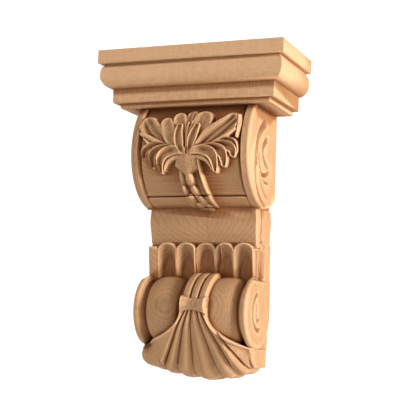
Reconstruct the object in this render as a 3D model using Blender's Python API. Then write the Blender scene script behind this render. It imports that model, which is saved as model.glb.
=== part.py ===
"""A carved beech wall capital: moulded abacus, scrolled block with a palmette, plain neck, fluted band, tied bolster and shell.

The whole work is one carved solid. It is modelled as a grid that is wrapped round the block, ring by ring from the top
to the bottom, and pushed in or out by functions of the place on the block. Lengths in the functions are millimetres,
with "drop" measured down from the top face and "depth" measured forward from the wall face.
"""

from dataclasses import dataclass, replace

import bmesh
import bpy
import numpy as np

# Sizes of the abacus, in millimetres
MM = 0.001
WIDTH = 150.0
DEPTH = 72.0
SLAB_HEIGHT = 10.6
SLAB_CHAMFER = 0.5
QUIRK_HEIGHT, QUIRK_INSET = 1.8, 4.0
OVOLO_HEIGHT, OVOLO_BULGE = 16.8, 2.5
BAND_HEIGHT, BAND_INSET = 11.0, 9.6
FILLET_HEIGHT, FILLET_INSET = 3.4, 14.3

# Heights of the carved body's parts, in order down the block
SCROLL_HEIGHT = 76.0
NECK_HEIGHT = 26.0
FLUTE_HEIGHT = 25.4
ROLL_RIM = 27.0
SHELL_HEIGHT = 25.0

# The scroll
SCROLL_HALF, SCROLL_DEPTH = 47.9, 64.3
SCROLL_BROW, SCROLL_CHIN = 50.0, 41.1
SCROLL_HEEL = 22.0
RIM_WIDTH, PANEL_SINK = 6.6, 2.1
PANEL_STRIP = 8.2
HEART_RISE, LEAF_RELIEF = 5.5, 1.0

# The neck and the fluted band
NECK_HALF, NECK_DEPTH, NECK_LEAN = 43.8, 30.8, 3.4
FLUTE_HALF, FLUTE_DEPTH, FLUTE_LEAN = 43.4, 34.8, 4.0
FLUTE_PITCH, FLUTE_SHIFT, FLUTE_ARRIS = 15.7, 3.6, 0.9
FLUTE_RISE, FLUTE_CUT = 4.6, 7.6

# The bolster, its strap and its knot
ROLL_HALF, ROLL_AXIS = 45.9, 26.5
ROLL_BULB, ROLL_VALLEY, ROLL_RIM_WIDTH = 26.2, 20.4, 4.4
BULB_MIDDLE, BULB_HALF = 23.8, 12.9
STRAP_HALF, STRAP_SHIFT, STRAP_LIFT = 9.8, 4.8, 3.2
KNOT_HALF, KNOT_HEIGHT, KNOT_LIFT = 10.2, 12.6, 6.6

# The shell, whose valleys are shares of its half width from its middle rib
SHELL_HALF, SHELL_LIFT, SHELL_TOP_HALF, SHELL_SHIFT = 44.0, 3.0, 10.6, 5.6
SHELL_RIB, SHELL_SCALLOP, SHELL_ARCH, SHELL_CORNER = 4.6, 3.4, 9.6, 1.6
SHELL_VALLEYS = (0.234, 0.552, 0.809)
SHELL_UNDER = 13.0
FLANK_LEFT, FLANK_RIGHT = 11.9, 8.9

CORNER = 1.4
GRID_STEP = 0.72
TRIANGLES = 10100

# Drops that follow from the heights
SLAB_END = SLAB_HEIGHT + QUIRK_HEIGHT
OVOLO_END = SLAB_END + OVOLO_HEIGHT
BAND_END = OVOLO_END + BAND_HEIGHT
SOFFIT = BAND_END + FILLET_HEIGHT
SCROLL_END = SOFFIT + SCROLL_HEIGHT
SCROLL_DROP = SCROLL_END - SCROLL_CHIN
FLUTE_TOP = SCROLL_END + NECK_HEIGHT
ROLL_TOP = FLUTE_TOP + FLUTE_HEIGHT
ROLL_DROP = ROLL_TOP + ROLL_RIM
ROLL_END = ROLL_DROP + ROLL_RIM
HEIGHT = ROLL_END + SHELL_HEIGHT
KNOT_DROP = ROLL_DROP - 0.17 * ROLL_RIM
SHELL_TOP = KNOT_DROP + 0.2 * KNOT_HEIGHT
ORIGIN_DROP = HEIGHT / 2
BEHIND = 0.35 * ROLL_AXIS
CLEAR = -99.0


def smooth_step(x, low, high):
    """A soft ramp from 0 at low to 1 at high."""
    s = np.clip((x - low) / (high - low), 0.0, 1.0)
    return s * s * (3.0 - 2.0 * s)


def bump(x, width):
    """A soft ridge of height 1 about x = 0."""
    return np.exp(-((x / width) ** 2))


def arc(offset, radius):
    """How far a circle's edge lies behind its foremost point at this offset from it."""
    s = np.clip(np.abs(offset) / radius, 0.0, 1.0)
    return radius * (1.0 - np.sqrt(1.0 - s * s))


def laid(below, above, mask):
    """One surface laid over another where the mask is 1."""
    return below + (above - below) * mask


def bezier(root, bend, tip, count=14):
    """Points along a curve that leaves root towards bend and ends at tip."""
    s = np.linspace(0.0, 1.0, count)[:, None]
    return (1 - s) ** 2 * np.array(root) + 2 * s * (1 - s) * np.array(bend) + s**2 * np.array(tip)


def turn(centre, radii, start, end, count=20):
    """Points along an arc whose radius runs from one value to another. Degrees from straight forward, upward positive."""
    angle = np.radians(np.linspace(start, end, count))
    radius = np.linspace(radii[0], radii[1], count)
    return np.stack([centre[0] + radius * np.cos(angle), centre[1] - radius * np.sin(angle)], axis=1)


def along_curve(x, y, points):
    """The distance to a polyline, how far to its left the place lies, and the share of its length beside it."""
    shape = np.broadcast(x, y).shape
    best, side, share = np.full(shape, 1e9), np.zeros(shape), np.zeros(shape)
    count = len(points) - 1
    for i in range(count):
        ax, ay = points[i]
        dx, dy = points[i + 1][0] - ax, points[i + 1][1] - ay
        length = np.hypot(dx, dy)
        s = np.clip(((x - ax) * dx + (y - ay) * dy) / length**2, 0.0, 1.0)
        far = np.hypot(x - ax - s * dx, y - ay - s * dy)
        nearer = far < best
        best = np.where(nearer, far, best)
        side = np.where(nearer, (dx * (y - ay) - dy * (x - ax)) / length, side)
        share = np.where(nearer, (i + s) / count, share)
    return best, side, share


def groove(x, y, points, width, deep):
    """Depth of a gouged line that follows the points and runs out at its end."""
    far, _, share = along_curve(x, y, points)
    return deep * np.clip(1.0 - (far / width) ** 2, 0.0, 1.0) * smooth_step(1.0 - share, -0.3, 0.15)


@dataclass(frozen=True)
class Leaf:
    """One lobe of the palmette, from its root past its bend to its tip, as (across, up) from the palmette's heart.

    The lobe is a ridge of this rim height and half width, hollowed like a spoon down its middle. The hollow leans to one
    side, the lobe starts slim and ends narrowed, and a lobe without a hollow is domed instead.
    """

    root: tuple[float, float]
    bend: tuple[float, float]
    tip: tuple[float, float]
    half: float
    rim: float
    hollow: float = 0.0
    lean: float = 0.0
    slim: float = 0.3
    end: float = 1.0
    dome: float = 0.0

    def half_at(self, share):
        """Half width of the lobe at this share of its length."""
        swell = self.slim + (1.0 - self.slim) * smooth_step(share, -0.05, 0.65)
        return self.half * swell * (1.0 - (1.0 - self.end) * np.asarray(share) ** 3)

    def carved(self, ground, across, up):
        """The carving's height with this lobe laid over what is there already."""
        bend, tip = np.array(self.bend), np.array(self.tip)
        back = (bend - tip) / np.hypot(*(bend - tip))
        spine = bezier(self.root, self.bend, tip + back * float(self.half_at(1.0)))
        far, side, share = along_curve(across, up, spine)
        half = self.half_at(share)
        r = np.clip(far / half, 0.0, 1.3)
        t = np.clip(side / half, -1.0, 1.0)
        inside = np.clip(1.0 - (r / 0.88) ** 2, 0.0, 1.0)
        bowl = self.hollow * inside * (1.0 + self.lean * t) * smooth_step(share, 0.02, 0.3)
        crown = self.rim * (0.85 + 0.15 * share) - bowl - self.dome * np.clip(r, 0.0, 1.0) ** 2
        crown = crown - 0.9 * np.clip((r - 0.8) / 0.2, 0.0, 1.0) ** 2
        return laid(ground, crown, 1.0 - smooth_step(far - half, -0.45, 0.25))


def mirrored(leaf, grow):
    """The same lobe on the other side, moved out this far at its tip."""
    return replace(
        leaf,
        root=(-leaf.root[0], leaf.root[1]),
        bend=(grow / 2 - leaf.bend[0], leaf.bend[1]),
        tip=(grow - leaf.tip[0], leaf.tip[1]),
        lean=-leaf.lean,
    )


def leaves() -> list[Leaf]:
    """The palmette's lobes in the order they lie: the stem, the heart, the upright lobes, drooping lobes and two spoons."""
    found = [
        Leaf((0.0, -8.0), (1.0, -22.0), (3.0, -48.0), 8.0, 1.9, 0.0, 0.0, 0.8, 1.0, 0.8),
        Leaf((-6.2, -6.0), (-7.4, -20.0), (-4.5, -42.0), 2.6, 3.3, 0.0, 0.0, 0.6, 0.8, 1.6),
        Leaf((8.6, -2.0), (10.8, -17.0), (14.6, -41.0), 1.8, 6.2, 0.0, 0.0, 0.7, 1.3, 1.8),
        Leaf((-0.8, -15.0), (-0.4, -6.0), (0.0, 5.0), 10.0, 6.2, 0.0, 0.0, 0.28, 0.8, 2.4),
        Leaf((0.5, 4.0), (0.5, 18.0), (0.8, 36.2), 6.6, 3.9, 0.0, 0.0, 0.3, 0.75, 1.0),
        Leaf((-1.0, 3.0), (-6.0, 15.0), (-10.2, 34.8), 6.4, 5.2, 0.6, -0.3, 0.3, 0.75, 0.9),
        Leaf((2.0, 3.0), (8.0, 14.0), (12.2, 35.4), 9.0, 5.2, 0.8, 0.2, 0.3, 0.7, 0.9),
        Leaf((-3.0, 2.0), (-24.0, 9.0), (-37.6, 31.0), 9.2, 5.2, 2.6, 0.3, 0.25, 0.8, 0.3),
        Leaf((3.0, 2.0), (20.0, 8.5), (38.6, 32.0), 9.4, 5.2, 2.6, -0.2, 0.25, 0.6, 0.3),
        Leaf((-2.0, 2.5), (-13.5, 11.0), (-20.3, 30.6), 6.0, 6.0, 0.9, -0.5, 0.3, 0.75, 1.0),
        Leaf((-4.0, 1.8), (-24.0, 11.0), (-40.8, 19.4), 2.3, 6.2, 0.0, 0.0, 0.6, 0.8, 1.6),
        Leaf((4.0, 2.0), (22.0, 8.0), (38.0, 20.5), 2.2, 6.2, 0.0, 0.0, 0.6, 0.8, 1.6),
        Leaf((38.4, 14.0), (40.4, 24.0), (37.8, 32.0), 1.8, 5.8, 0.0, 0.0, 0.7, 0.7, 1.6),
        Leaf((22.0, 10.0), (37.5, 14.5), (37.8, 0.6), 3.4, 4.8, 1.4, -0.4, 0.4, 0.6),
    ]
    hooks = (
        Leaf((-14.0, 8.5), (-37.0, 13.5), (-36.0, -1.8), 3.2, 4.6, 2.2, 0.5, 0.4, 0.7),
        Leaf((-10.0, 6.0), (-32.5, 12.0), (-28.4, -8.6), 4.0, 6.0, 3.2, 0.5, 0.35, 0.6),
        Leaf((-5.0, 3.0), (-25.0, 11.0), (-22.4, -12.6), 3.8, 7.2, 3.6, 0.5, 0.35, 0.5),
    )
    for hook in hooks:
        found += [hook, mirrored(hook, 1.2)]
    return found + [
        Leaf((-1.2, 1.0), (-8.8, 9.0), (-6.8, 25.8), 4.3, 7.0, 3.2, 0.1, 0.25, 0.6),
        Leaf((1.4, 1.0), (3.0, 12.0), (7.5, 25.4), 4.1, 6.8, 3.0, -0.1, 0.25, 0.6),
    ]


def bed(across, up):
    """Height of the leaf that joins the upright lobes behind them, a fan about the palmette's heart."""
    out = np.hypot(across, up) - 30.0 - 6.0 * np.abs(across) / (np.abs(across) + np.abs(up) + 1.0)
    return 3.0 * (1.0 - smooth_step(out, -2.5, 0.5)) * smooth_step(up - 0.3 * np.abs(across), -1.0, 2.0)


def beading(across, up):
    """Height of the beads down the stem, each a little smaller than the one above, and 0 beside them."""
    height = np.zeros(np.broadcast(across, up).shape)
    for i, (x, y) in enumerate(((0.0, -16.6), (2.4, -24.8), (4.9, -31.4), (7.6, -36.6))):
        r = np.hypot((across - x) / (3.7 - 0.1 * i), (up - y) / (5.0 - 0.5 * i))
        height = np.maximum(height, np.where(r < 1.0, 2.2 + 4.6 * np.sqrt(np.clip(1.0 - r * r, 0.0, 1.0)), 0.0))
    return height


def palmette(across, up):
    """Height of the leaf carving over the scroll's panel, about the palmette's heart."""
    height = bed(across, up)
    for leaf in leaves():
        height = leaf.carved(height, across, up)
    return np.maximum(height, beading(across, up)) * LEAF_RELIEF


def scroll_depth(across, drop):
    """Front of the upper scroll: two raised rims with a sunk panel between them, and the palmette on the panel."""
    below = drop - SCROLL_DROP
    rim = SCROLL_DEPTH - np.where(below < 0, arc(below, SCROLL_BROW), arc(below, SCROLL_CHIN))
    off = np.abs(across) - (SCROLL_HALF - RIM_WIDTH)
    inside = 1.0 - smooth_step(off, -0.5, 0.5)
    line = drop - SCROLL_END + PANEL_STRIP
    sink = PANEL_SINK * inside + 1.3 * bump(off + 1.3, 0.9)
    sink = sink - 1.3 * smooth_step(line, 0.2, 1.0) * (1.0 - smooth_step(off, -2.0, 0.0)) + 1.7 * bump(line, 0.9) * inside
    size = SCROLL_HEIGHT / 76.0
    leaf = palmette(across * 47.9 / SCROLL_HALF, (HEART_RISE - below) / size)
    front = rim - sink + leaf * (1.0 - 0.45 * smooth_step(below, 0.62 * SCROLL_CHIN, SCROLL_CHIN))
    return np.where(below > 0, np.maximum(front, neck_depth(drop)), front)


def neck_depth(drop):
    """Front of the plain neck, which leans back a little towards the flutes."""
    return NECK_DEPTH - NECK_LEAN * smooth_step(drop, FLUTE_TOP - 0.6 * NECK_HEIGHT, FLUTE_TOP + 4.0)


def flute_depth(across, drop):
    """Front of the fluted band, whose arched tops stand proud of the neck, or clear above them."""
    place = (across - FLUTE_SHIFT) / FLUTE_PITCH
    off = np.abs(place - np.round(place)) * FLUTE_PITCH
    crown = np.sqrt(np.clip(1.0 - (off / (FLUTE_PITCH / 2 - FLUTE_ARRIS)) ** 2, 0.0, 1.0))
    arch = np.sqrt(np.clip(1.0 - (off / (FLUTE_PITCH / 2)) ** 2, 0.0, 1.0))
    top = FLUTE_TOP + FLUTE_RISE * (1.0 - arch)
    face = FLUTE_DEPTH - FLUTE_LEAN * (drop - FLUTE_TOP) / FLUTE_HEIGHT
    cut = FLUTE_CUT * crown * (1.0 - np.exp(-np.clip(drop - top - 1.5, 0.0, None) / 1.5))
    lip = 0.9 * np.exp(-np.clip(drop - top, 0.0, None) / 0.6)
    return np.where(drop >= top, face - cut - lip, CLEAR)


def roll_radius(across):
    """Radius of the turned bolster along its axis: rims, hollow necks, two bulbs and the waist under the strap."""
    x = np.abs(across)
    u = np.clip(np.abs(x - BULB_MIDDLE) / BULB_HALF, 0.0, 1.0)
    bulb = ROLL_VALLEY + (ROLL_BULB - ROLL_VALLEY) * (1.0 - u**2.7) ** 0.55
    inner = ROLL_HALF - ROLL_RIM_WIDTH
    rise = np.clip((x - inner + ROLL_RIM_WIDTH) / ROLL_RIM_WIDTH, 0.0, 1.0)
    flare = ROLL_VALLEY + (ROLL_RIM - 0.6 - ROLL_VALLEY) * rise**1.35
    lobe = np.clip(np.abs(x - ROLL_HALF + ROLL_RIM_WIDTH / 2) / (ROLL_RIM_WIDTH / 2), 0.0, 1.0)
    return np.where(x < inner, np.maximum(bulb, flare), ROLL_RIM - 0.6 * lobe**2)


def drape(radius, drop):
    """Depth of the surface of this radius about the bolster's axis, or clear above and below it."""
    off = drop - ROLL_DROP
    return np.where(np.abs(off) < radius, ROLL_AXIS + np.sqrt(np.clip(radius**2 - off**2, 0.0, None)), CLEAR)


def strap(across, drop):
    """The strap's depth and where it lies: three strands over the bolster, spreading a little towards its top."""
    rise = ROLL_DROP - drop
    x = across - STRAP_SHIFT - 0.8 * smooth_step(rise, 0.2 * ROLL_RIM, 1.0 * ROLL_RIM)
    half = STRAP_HALF + 0.6 * smooth_step(rise, 0.3 * ROLL_RIM, 0.95 * ROLL_RIM)
    place = np.clip((x / half + 1.0) * 1.5, 0.0, 2.999)
    strand = 1.0 - np.abs(2.0 * (place - np.floor(place)) - 1.0) ** 5
    radius = ROLL_BULB + STRAP_LIFT - 2.4 * (1.0 - strand)
    return drape(radius, drop), (1.0 - smooth_step(np.abs(x) - half, -0.3, 0.3)) * (drop < KNOT_DROP + 2.0)


def knot(across, drop):
    """The depth of the band that ties the strap, waisted like a bow, and where it lies."""
    x = (across - STRAP_SHIFT) / KNOT_HALF
    far = np.clip(np.abs(x), 0.0, 1.4)
    half = 0.5 * KNOT_HEIGHT * (0.66 + 0.34 * np.clip(far, 0.0, 1.0) ** 1.6)
    y = (drop - KNOT_DROP - 0.6 * x) / half
    front = ROLL_AXIS + ROLL_BULB + KNOT_LIFT - 1.6 * y**2 - 2.0 * (1.0 - np.clip(far, 0, 1) ** 1.5)
    mask = (1.0 - smooth_step((far - 1.0) * KNOT_HALF, -0.9, 0.5)) * (1.0 - smooth_step((np.abs(y) - 1.0) * half, -0.8, 0.5))
    return front, mask


def rib(place):
    """1 on a crest and 0 in a valley, by the place across the opened fan from its middle rib."""
    x = np.abs(place) / SHELL_HALF
    first, second, third = SHELL_VALLEYS
    found = 1.0 - (1.0 - np.clip((x - third) / 0.08, 0.0, 1.0)) ** 2
    for low, high in ((-first, first), (first, second), (second, third)):
        v = np.abs(x - (low + high) / 2) / ((high - low) / 2)
        found = np.where(v < 1.0, 1.0 - v**1.75, found)
    return found


def bottom_drop(across):
    """Drop of the scalloped lower edge."""
    x = across - SHELL_SHIFT
    share = np.clip(np.abs(x) / (SHELL_HALF - np.sign(x) * SHELL_SHIFT), 0.0, 1.0)
    notch = SHELL_SCALLOP * (1.0 - rib(x)) ** 1.5 * (1.0 - smooth_step(share, 0.93, 1.0))
    corner = SHELL_CORNER * smooth_step(across, 0.75 * SHELL_HALF, SHELL_HALF)
    return HEIGHT - SHELL_ARCH * share**1.9 - notch - corner


def shell(across, drop):
    """The shell's depth and where it lies: draped from the knot over the bolster and rounded under at its lower edge."""
    fan = 0.17 + 0.93 * np.clip((drop - SHELL_TOP) / (HEIGHT - SHELL_TOP), 0.0, 1.0)
    over = ROLL_BULB + SHELL_LIFT
    lean_from = ROLL_DROP + 0.55 * over
    lean_depth = ROLL_AXIS + over * np.sqrt(1.0 - 0.55**2)
    front = np.where(drop < lean_from, drape(over, drop), lean_depth - 0.66 * (drop - lean_from))
    low = (drop - ROLL_END) * 25.0 / SHELL_HEIGHT
    flank = np.where(across < 0, FLANK_LEFT - 0.13 * (low - 7.0) ** 2, FLANK_RIGHT - 0.5 * (low + 2.0))
    outer = smooth_step(np.abs(across), 0.62 * SHELL_HALF, 0.98 * SHELL_HALF)
    front = laid(front, ROLL_AXIS + flank, outer * smooth_step(low, -8.0, 0.5))
    depth = front - SHELL_RIB * fan**0.6 * (1.0 - rib((across - SHELL_SHIFT) / fan))
    reach = ROLL_END + 0.6 - SHELL_TOP
    s = np.clip((drop - SHELL_TOP) / reach, 0.0, 1.0)
    edge = SHELL_TOP_HALF + (SHELL_HALF + 4.0 - SHELL_TOP_HALF) * s**2.5
    steep = (SHELL_HALF + 4.0 - SHELL_TOP_HALF) * 2.5 * s**1.5 / reach
    off = (np.abs(across - STRAP_SHIFT * (1.0 - s**1.5)) - edge) / np.sqrt(1.0 + steep**2)
    depth = depth + 1.3 * bump(off + 1.2, 0.8) * (drop < ROLL_END + 3.0)
    gap = np.clip((bottom_drop(across) - drop) / (0.36 * SHELL_HEIGHT), 0.0, 1.0)
    under = SHELL_UNDER - 6.0 * smooth_step(np.abs(across), 0.7 * SHELL_HALF, SHELL_HALF)
    depth = depth - under * (1.0 - np.sqrt(1.0 - (1.0 - gap) ** 2))
    return depth, (1.0 - smooth_step(off, -0.3, 0.3)) * (drop > SHELL_TOP)


def front_depth(across, drop, half):
    """How far the carved front stands off the wall, with its side edges rounded."""
    lower = np.maximum(flute_depth(across, drop), drape(roll_radius(across), drop))
    for depth, mask in (strap(across, drop), shell(across, drop), knot(across, drop)):
        base = np.maximum(lower, BEHIND)
        lower = np.where(mask > 0.0, laid(base, np.maximum(depth, base - 2.0), mask), lower)
    behind = np.where(drop < ROLL_TOP + 5.0, neck_depth(drop), BEHIND)
    depth = np.where(drop < SCROLL_END, scroll_depth(across, drop), np.maximum(behind, lower))
    near = np.clip(CORNER - (half - np.abs(across)), 0.0, CORNER)
    return depth - (CORNER - np.sqrt(np.clip(CORNER**2 - near**2, 0.0, None)))


def side_half(drop):
    """Half width of the block at its front edge."""
    neck = NECK_HALF + 0.7 * bump(drop - SCROLL_END - 0.36 * NECK_HEIGHT, 6.0)
    half = np.where(drop < SCROLL_END, SCROLL_HALF, np.where(drop < FLUTE_TOP, neck, FLUTE_HALF))
    half = half + (ROLL_HALF - FLUTE_HALF) * smooth_step(drop, ROLL_TOP + 1.6, ROLL_TOP + 4.0)
    return half - (ROLL_HALF - SHELL_HALF) * smooth_step(drop, ROLL_END - 0.8, ROLL_END + 0.6)


def scroll_side(depth, drop):
    """Relief of the scroll's side: a sunk spiral with a leaf in it, and the rounded end against the neck."""
    end = SCROLL_END - 8.6 * np.clip(1.0 - depth / SCROLL_HEEL, 0.0, 1.0) ** 2
    relief = -(SCROLL_HALF - NECK_HALF) * smooth_step(drop, end - 1.0, end + 0.2)
    size = SCROLL_HEIGHT / 76.0
    y, x = (drop - SCROLL_DROP) / size, depth * 64.3 / SCROLL_DEPTH
    relief = relief - groove(x, y, turn((17.0, 4.0), (34.0, 28.0), 66.0, -88.0), 3.0, 3.2)
    relief = relief - groove(x, y, turn((20.0, -4.0), (29.0, 27.0), 62.0, 2.0), 3.6, 1.8)
    relief = relief - groove(x, y, turn((24.0, -5.5), (17.5, 13.0), 84.0, -104.0), 2.7, 3.0)
    relief = relief - groove(x, y, turn((27.0, -6.5), (7.5, 5.0), 75.0, -75.0, 12), 2.3, 2.5)
    return relief - groove(x, y, bezier((33.0, 8.0), (24.0, 14.0), (18.0, 12.0), 8), 1.6, 1.5)


def neck_side(depth, drop):
    """Relief of the neck's side: a raised back strip with a waved edge, and a gouge that ends in a curl."""
    y = (drop - SCROLL_END) * 26.0 / NECK_HEIGHT
    x = depth * 30.8 / NECK_DEPTH
    line = np.array([(20.5, 1.5), (20.0, 12.0), (19.0, 21.0), (17.0, 24.5), (19.5, 25.5)])
    relief = 0.9 * (1.0 - smooth_step(x - 15.0 - 2.0 * np.sin(y * 0.24), -2.0, 2.0))
    return relief - groove(x, y, line, 1.8, 2.2)


def flute_side(depth, drop):
    """Relief of the fluted band's side: two narrow flutes and a plain raised strip behind them."""
    x = depth * 34.8 / FLUTE_DEPTH
    relief = 2.0 * (1.0 - smooth_step(x, 12.6, 14.6))
    for middle, half in ((27.0, 3.7), (18.6, 4.3)):
        u = np.clip(np.abs(x - middle) / half, 0.0, 1.0)
        arch = smooth_step(drop - FLUTE_TOP, 1.4 + 2.5 * u, 4.4 + 2.5 * u)
        relief = relief - 3.0 * np.sqrt(1.0 - u * u) * arch
    return relief * (1.0 - smooth_step(drop, ROLL_TOP + 1.6, ROLL_TOP + 4.0))


def roll_side(depth, drop):
    """Relief of the bolster's end: a dished face inside its rim, a C-shaped groove and a curl in it."""
    x, y = depth - ROLL_AXIS, drop - ROLL_DROP
    radius = np.hypot(x, y) / ROLL_RIM
    relief = -0.8 * (1.0 - smooth_step(radius, 0.7, 0.84)) * smooth_step(depth, 0.3 * ROLL_AXIS, 0.6 * ROLL_AXIS)
    relief = relief - groove(x, y, turn((-4.5, 0.0), (14.5, 13.0), 70.0, -96.0), 2.2, 2.8)
    relief = relief - groove(x, y, np.array([(2.0, -6.0), (1.5, 2.0), (-1.0, 6.5), (-4.0, 5.0)]), 1.8, 2.3)
    return relief - 1.4 * smooth_step(radius, 0.985, 1.02) * (y > 0)


def side_relief(depth, drop, edge):
    """How far the side face stands out from its front edge's plane, by depth from the wall and drop."""
    relief = np.where(drop < SCROLL_END, scroll_side(depth, drop), neck_side(depth, drop))
    relief = np.where(drop < FLUTE_TOP, relief, flute_side(depth, drop))
    relief = np.where(drop < ROLL_TOP + 4.0, relief, roll_side(depth, drop))
    relief = np.where(drop < ROLL_END, relief, 0.0)
    return relief * smooth_step(edge - depth, 0.6, 2.2)


def ovolo_rows():
    """(drop, inset) down the ovolo: a shallow swell from the quirk, then a quarter-round down to the band."""
    widest = SLAB_END + 0.42 * OVOLO_HEIGHT
    out = QUIRK_INSET - OVOLO_BULGE
    rows = []
    for s in np.linspace(0.02, 1.0, 9):
        rows.append((SLAB_END + s * (widest - SLAB_END), out + 0.85 * OVOLO_BULGE * (1.0 - (1.0 - (1.0 - s) ** 2) ** 0.5)))
    for angle in np.radians(np.linspace(8.0, 86.0, 13)):
        rows.append((widest + np.sin(angle) * (OVOLO_END - widest), out + (BAND_INSET - out) * (1.0 - np.cos(angle))))
    return rows


def abacus_rows():
    """(drop, inset) down the moulding, from the slab's top edge to the soffit."""
    rows = [(0.0, SLAB_CHAMFER), (SLAB_CHAMFER, 0.0), (SLAB_HEIGHT - SLAB_CHAMFER, 0.0), (SLAB_HEIGHT, SLAB_CHAMFER)]
    rows += [(SLAB_HEIGHT + 0.1, QUIRK_INSET), (SLAB_END, QUIRK_INSET)] + ovolo_rows()
    rows += [(OVOLO_END, BAND_INSET), (BAND_END - 0.3, BAND_INSET), (BAND_END, BAND_INSET + 0.3)]
    return rows + [(BAND_END + 0.05, FILLET_INSET), (SOFFIT, FILLET_INSET)]


def ring_parameters(step):
    """Where each ring point lies: its face (0 front, 1 right, 2 back, 3 left) and its share of the way along."""
    across = max(8, round(2 * SCROLL_HALF / step))
    deep = max(6, round(0.8 * SCROLL_DEPTH / step))
    face, share = [], []
    for which, count in ((0, across), (1, deep), (2, across), (3, deep)):
        share += list(np.arange(count) / count)
        face += [which] * count
    return np.array(face + [0]), np.array(share + [0.0])


def moulding_rings(face, front_u, behind):
    """Points of the abacus's rings, from one folded flat on the top face's back edge down to the soffit."""
    rings = []
    for k, (drop, inset) in enumerate([(0.0, SLAB_CHAMFER)] + abacus_rows()):
        half, depth = WIDTH / 2 - inset, (DEPTH - inset) * (k > 0)
        rings.append(np.stack([front_u * half, -behind * depth, np.full(face.shape, -drop)], axis=1))
    return np.array(rings)


def body_rings(face, front_u, behind, step):
    """Points of the carved body's rings, from the soffit down to one folded flat on the lower edge of the wall face."""
    drops = np.arange(SOFFIT, HEIGHT, step)
    edges = [SCROLL_END - 0.05, SCROLL_END + 0.05, FLUTE_TOP - 0.05, FLUTE_TOP + 0.05, HEIGHT]
    drops = np.unique(np.concatenate([drops, edges]))[:, None]
    half = side_half(drops)
    x = front_u * half
    lift = np.clip((drops - ROLL_END - 1.0) / (HEIGHT - ROLL_END - 1.0), 0.0, 1.0)
    drop = drops - lift * (HEIGHT - bottom_drop(x))
    side_drop = drops - lift * (HEIGHT - bottom_drop(front_u * half / np.maximum(np.abs(front_u), 1e-9)))
    right_edge = front_depth(half, drops - lift * (HEIGHT - bottom_drop(half)), half)
    left_edge = front_depth(-half, drops - lift * (HEIGHT - bottom_drop(-half)), half)
    edge = np.where(front_u > 0, right_edge, left_edge)
    depth = np.where(face == 0, front_depth(x, drop, half), behind * edge)
    depth = np.where(face == 2, 0.0, depth)
    side = np.where((face == 1) | (face == 3), side_relief(behind * edge, side_drop, edge), 0.0)
    back = half + side_relief(0.0 * edge, side_drop, edge)
    x = np.where(face == 2, front_u * back, x + np.sign(x) * side)
    points = np.stack([x, -depth, -drop], axis=2)
    last = points[-1:] * np.array([1.0, 0.0, 1.0])
    last[0, :, 0] = front_u * back[-1]
    return np.concatenate([points, last])


def body_grid(step):
    """Positions of every grid point in millimetres, as rings by columns by 3, in the part's frame."""
    face, share = ring_parameters(step)
    front_u = np.select([face == 0, face == 1, face == 2], [2 * share - 1, 1.0, 1 - 2 * share], -1.0)
    behind = np.select([face == 0, face == 1, face == 2], [1.0, 1 - share, 0.0], share)
    points = np.concatenate([moulding_rings(face, front_u, behind), body_rings(face, front_u, behind, step)])
    points[:, :, 2] += ORIGIN_DROP
    return points


def wrapped_mesh(name, step):
    """The closed mesh: a flat grid whose points are moved onto the block, with its seam and ends welded."""
    points = body_grid(step)
    rings, columns = points.shape[:2]
    bm = bmesh.new()
    bmesh.ops.create_grid(bm, x_segments=columns - 1, y_segments=rings - 1, size=1.0)
    for vert in bm.verts:
        column = round((vert.co.x + 1) / 2 * (columns - 1))
        ring = round((vert.co.y + 1) / 2 * (rings - 1))
        vert.co = points[ring, column] * MM
    bmesh.ops.remove_doubles(bm, verts=bm.verts, dist=2e-6)
    bmesh.ops.recalc_face_normals(bm, faces=bm.faces)
    mesh = bpy.data.meshes.new(name)
    bm.to_mesh(mesh)
    bm.free()
    return mesh


def thinned(source, name, triangles):
    """The mesh thinned out to about this many triangles, with the wall face put back on its plane."""
    helper = bpy.data.objects.new(name + "_dense", source)
    bpy.context.scene.collection.objects.link(helper)
    source.calc_loop_triangles()
    thin = helper.modifiers.new("Thin", "DECIMATE")
    thin.ratio = triangles / len(source.loop_triangles)
    bpy.context.view_layer.update()
    graph = bpy.context.evaluated_depsgraph_get()
    mesh = bpy.data.meshes.new_from_object(helper.evaluated_get(graph))
    mesh.name = name
    bpy.data.objects.remove(helper)
    for vert in mesh.vertices:
        if vert.co.y > -0.00006:
            vert.co.y = 0.0
    return mesh


def beech():
    """Unfinished beech."""
    material = bpy.data.materials.new("beech")
    material.use_nodes = True
    shader = material.node_tree.nodes["Principled BSDF"]
    shader.inputs["Base Color"].default_value = (0.52, 0.31, 0.17, 1.0)
    shader.inputs["Roughness"].default_value = 0.62
    shader.inputs["Metallic"].default_value = 0.0
    return material


def main():
    """Builds the capital in its own frame: wall face on Y = 0, front towards -Y, +Z up."""
    for old in list(bpy.data.objects):
        bpy.data.objects.remove(old)
    collection = bpy.data.collections.new("Carved capital")
    bpy.context.scene.collection.children.link(collection)
    mesh = thinned(wrapped_mesh("capital_dense", GRID_STEP), "carved_capital", TRIANGLES)
    mesh.materials.append(beech())
    capital = bpy.data.objects.new("carved_capital", mesh)
    collection.objects.link(capital)
    mesh.shade_smooth()
    mesh.set_sharp_from_angle(angle=np.radians(32.0))


main()
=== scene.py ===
"""Carved beech wall capital: the finished look of one carved block.

The block is one closed mesh. It starts as a flat grid that is wrapped round the block, ring by ring from the top to the
bottom, and each course of the carving says how far its surface stands off the wall. Lengths in the courses are
millimetres: "across" runs to the right when facing the carved front, "drop" runs down from the top face, and "depth"
runs forward from the wall face.
"""

import logging
import math
from dataclasses import dataclass, field
from enum import Enum

import bmesh
import bpy
import numpy as np
from mathutils import Matrix, Vector


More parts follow.
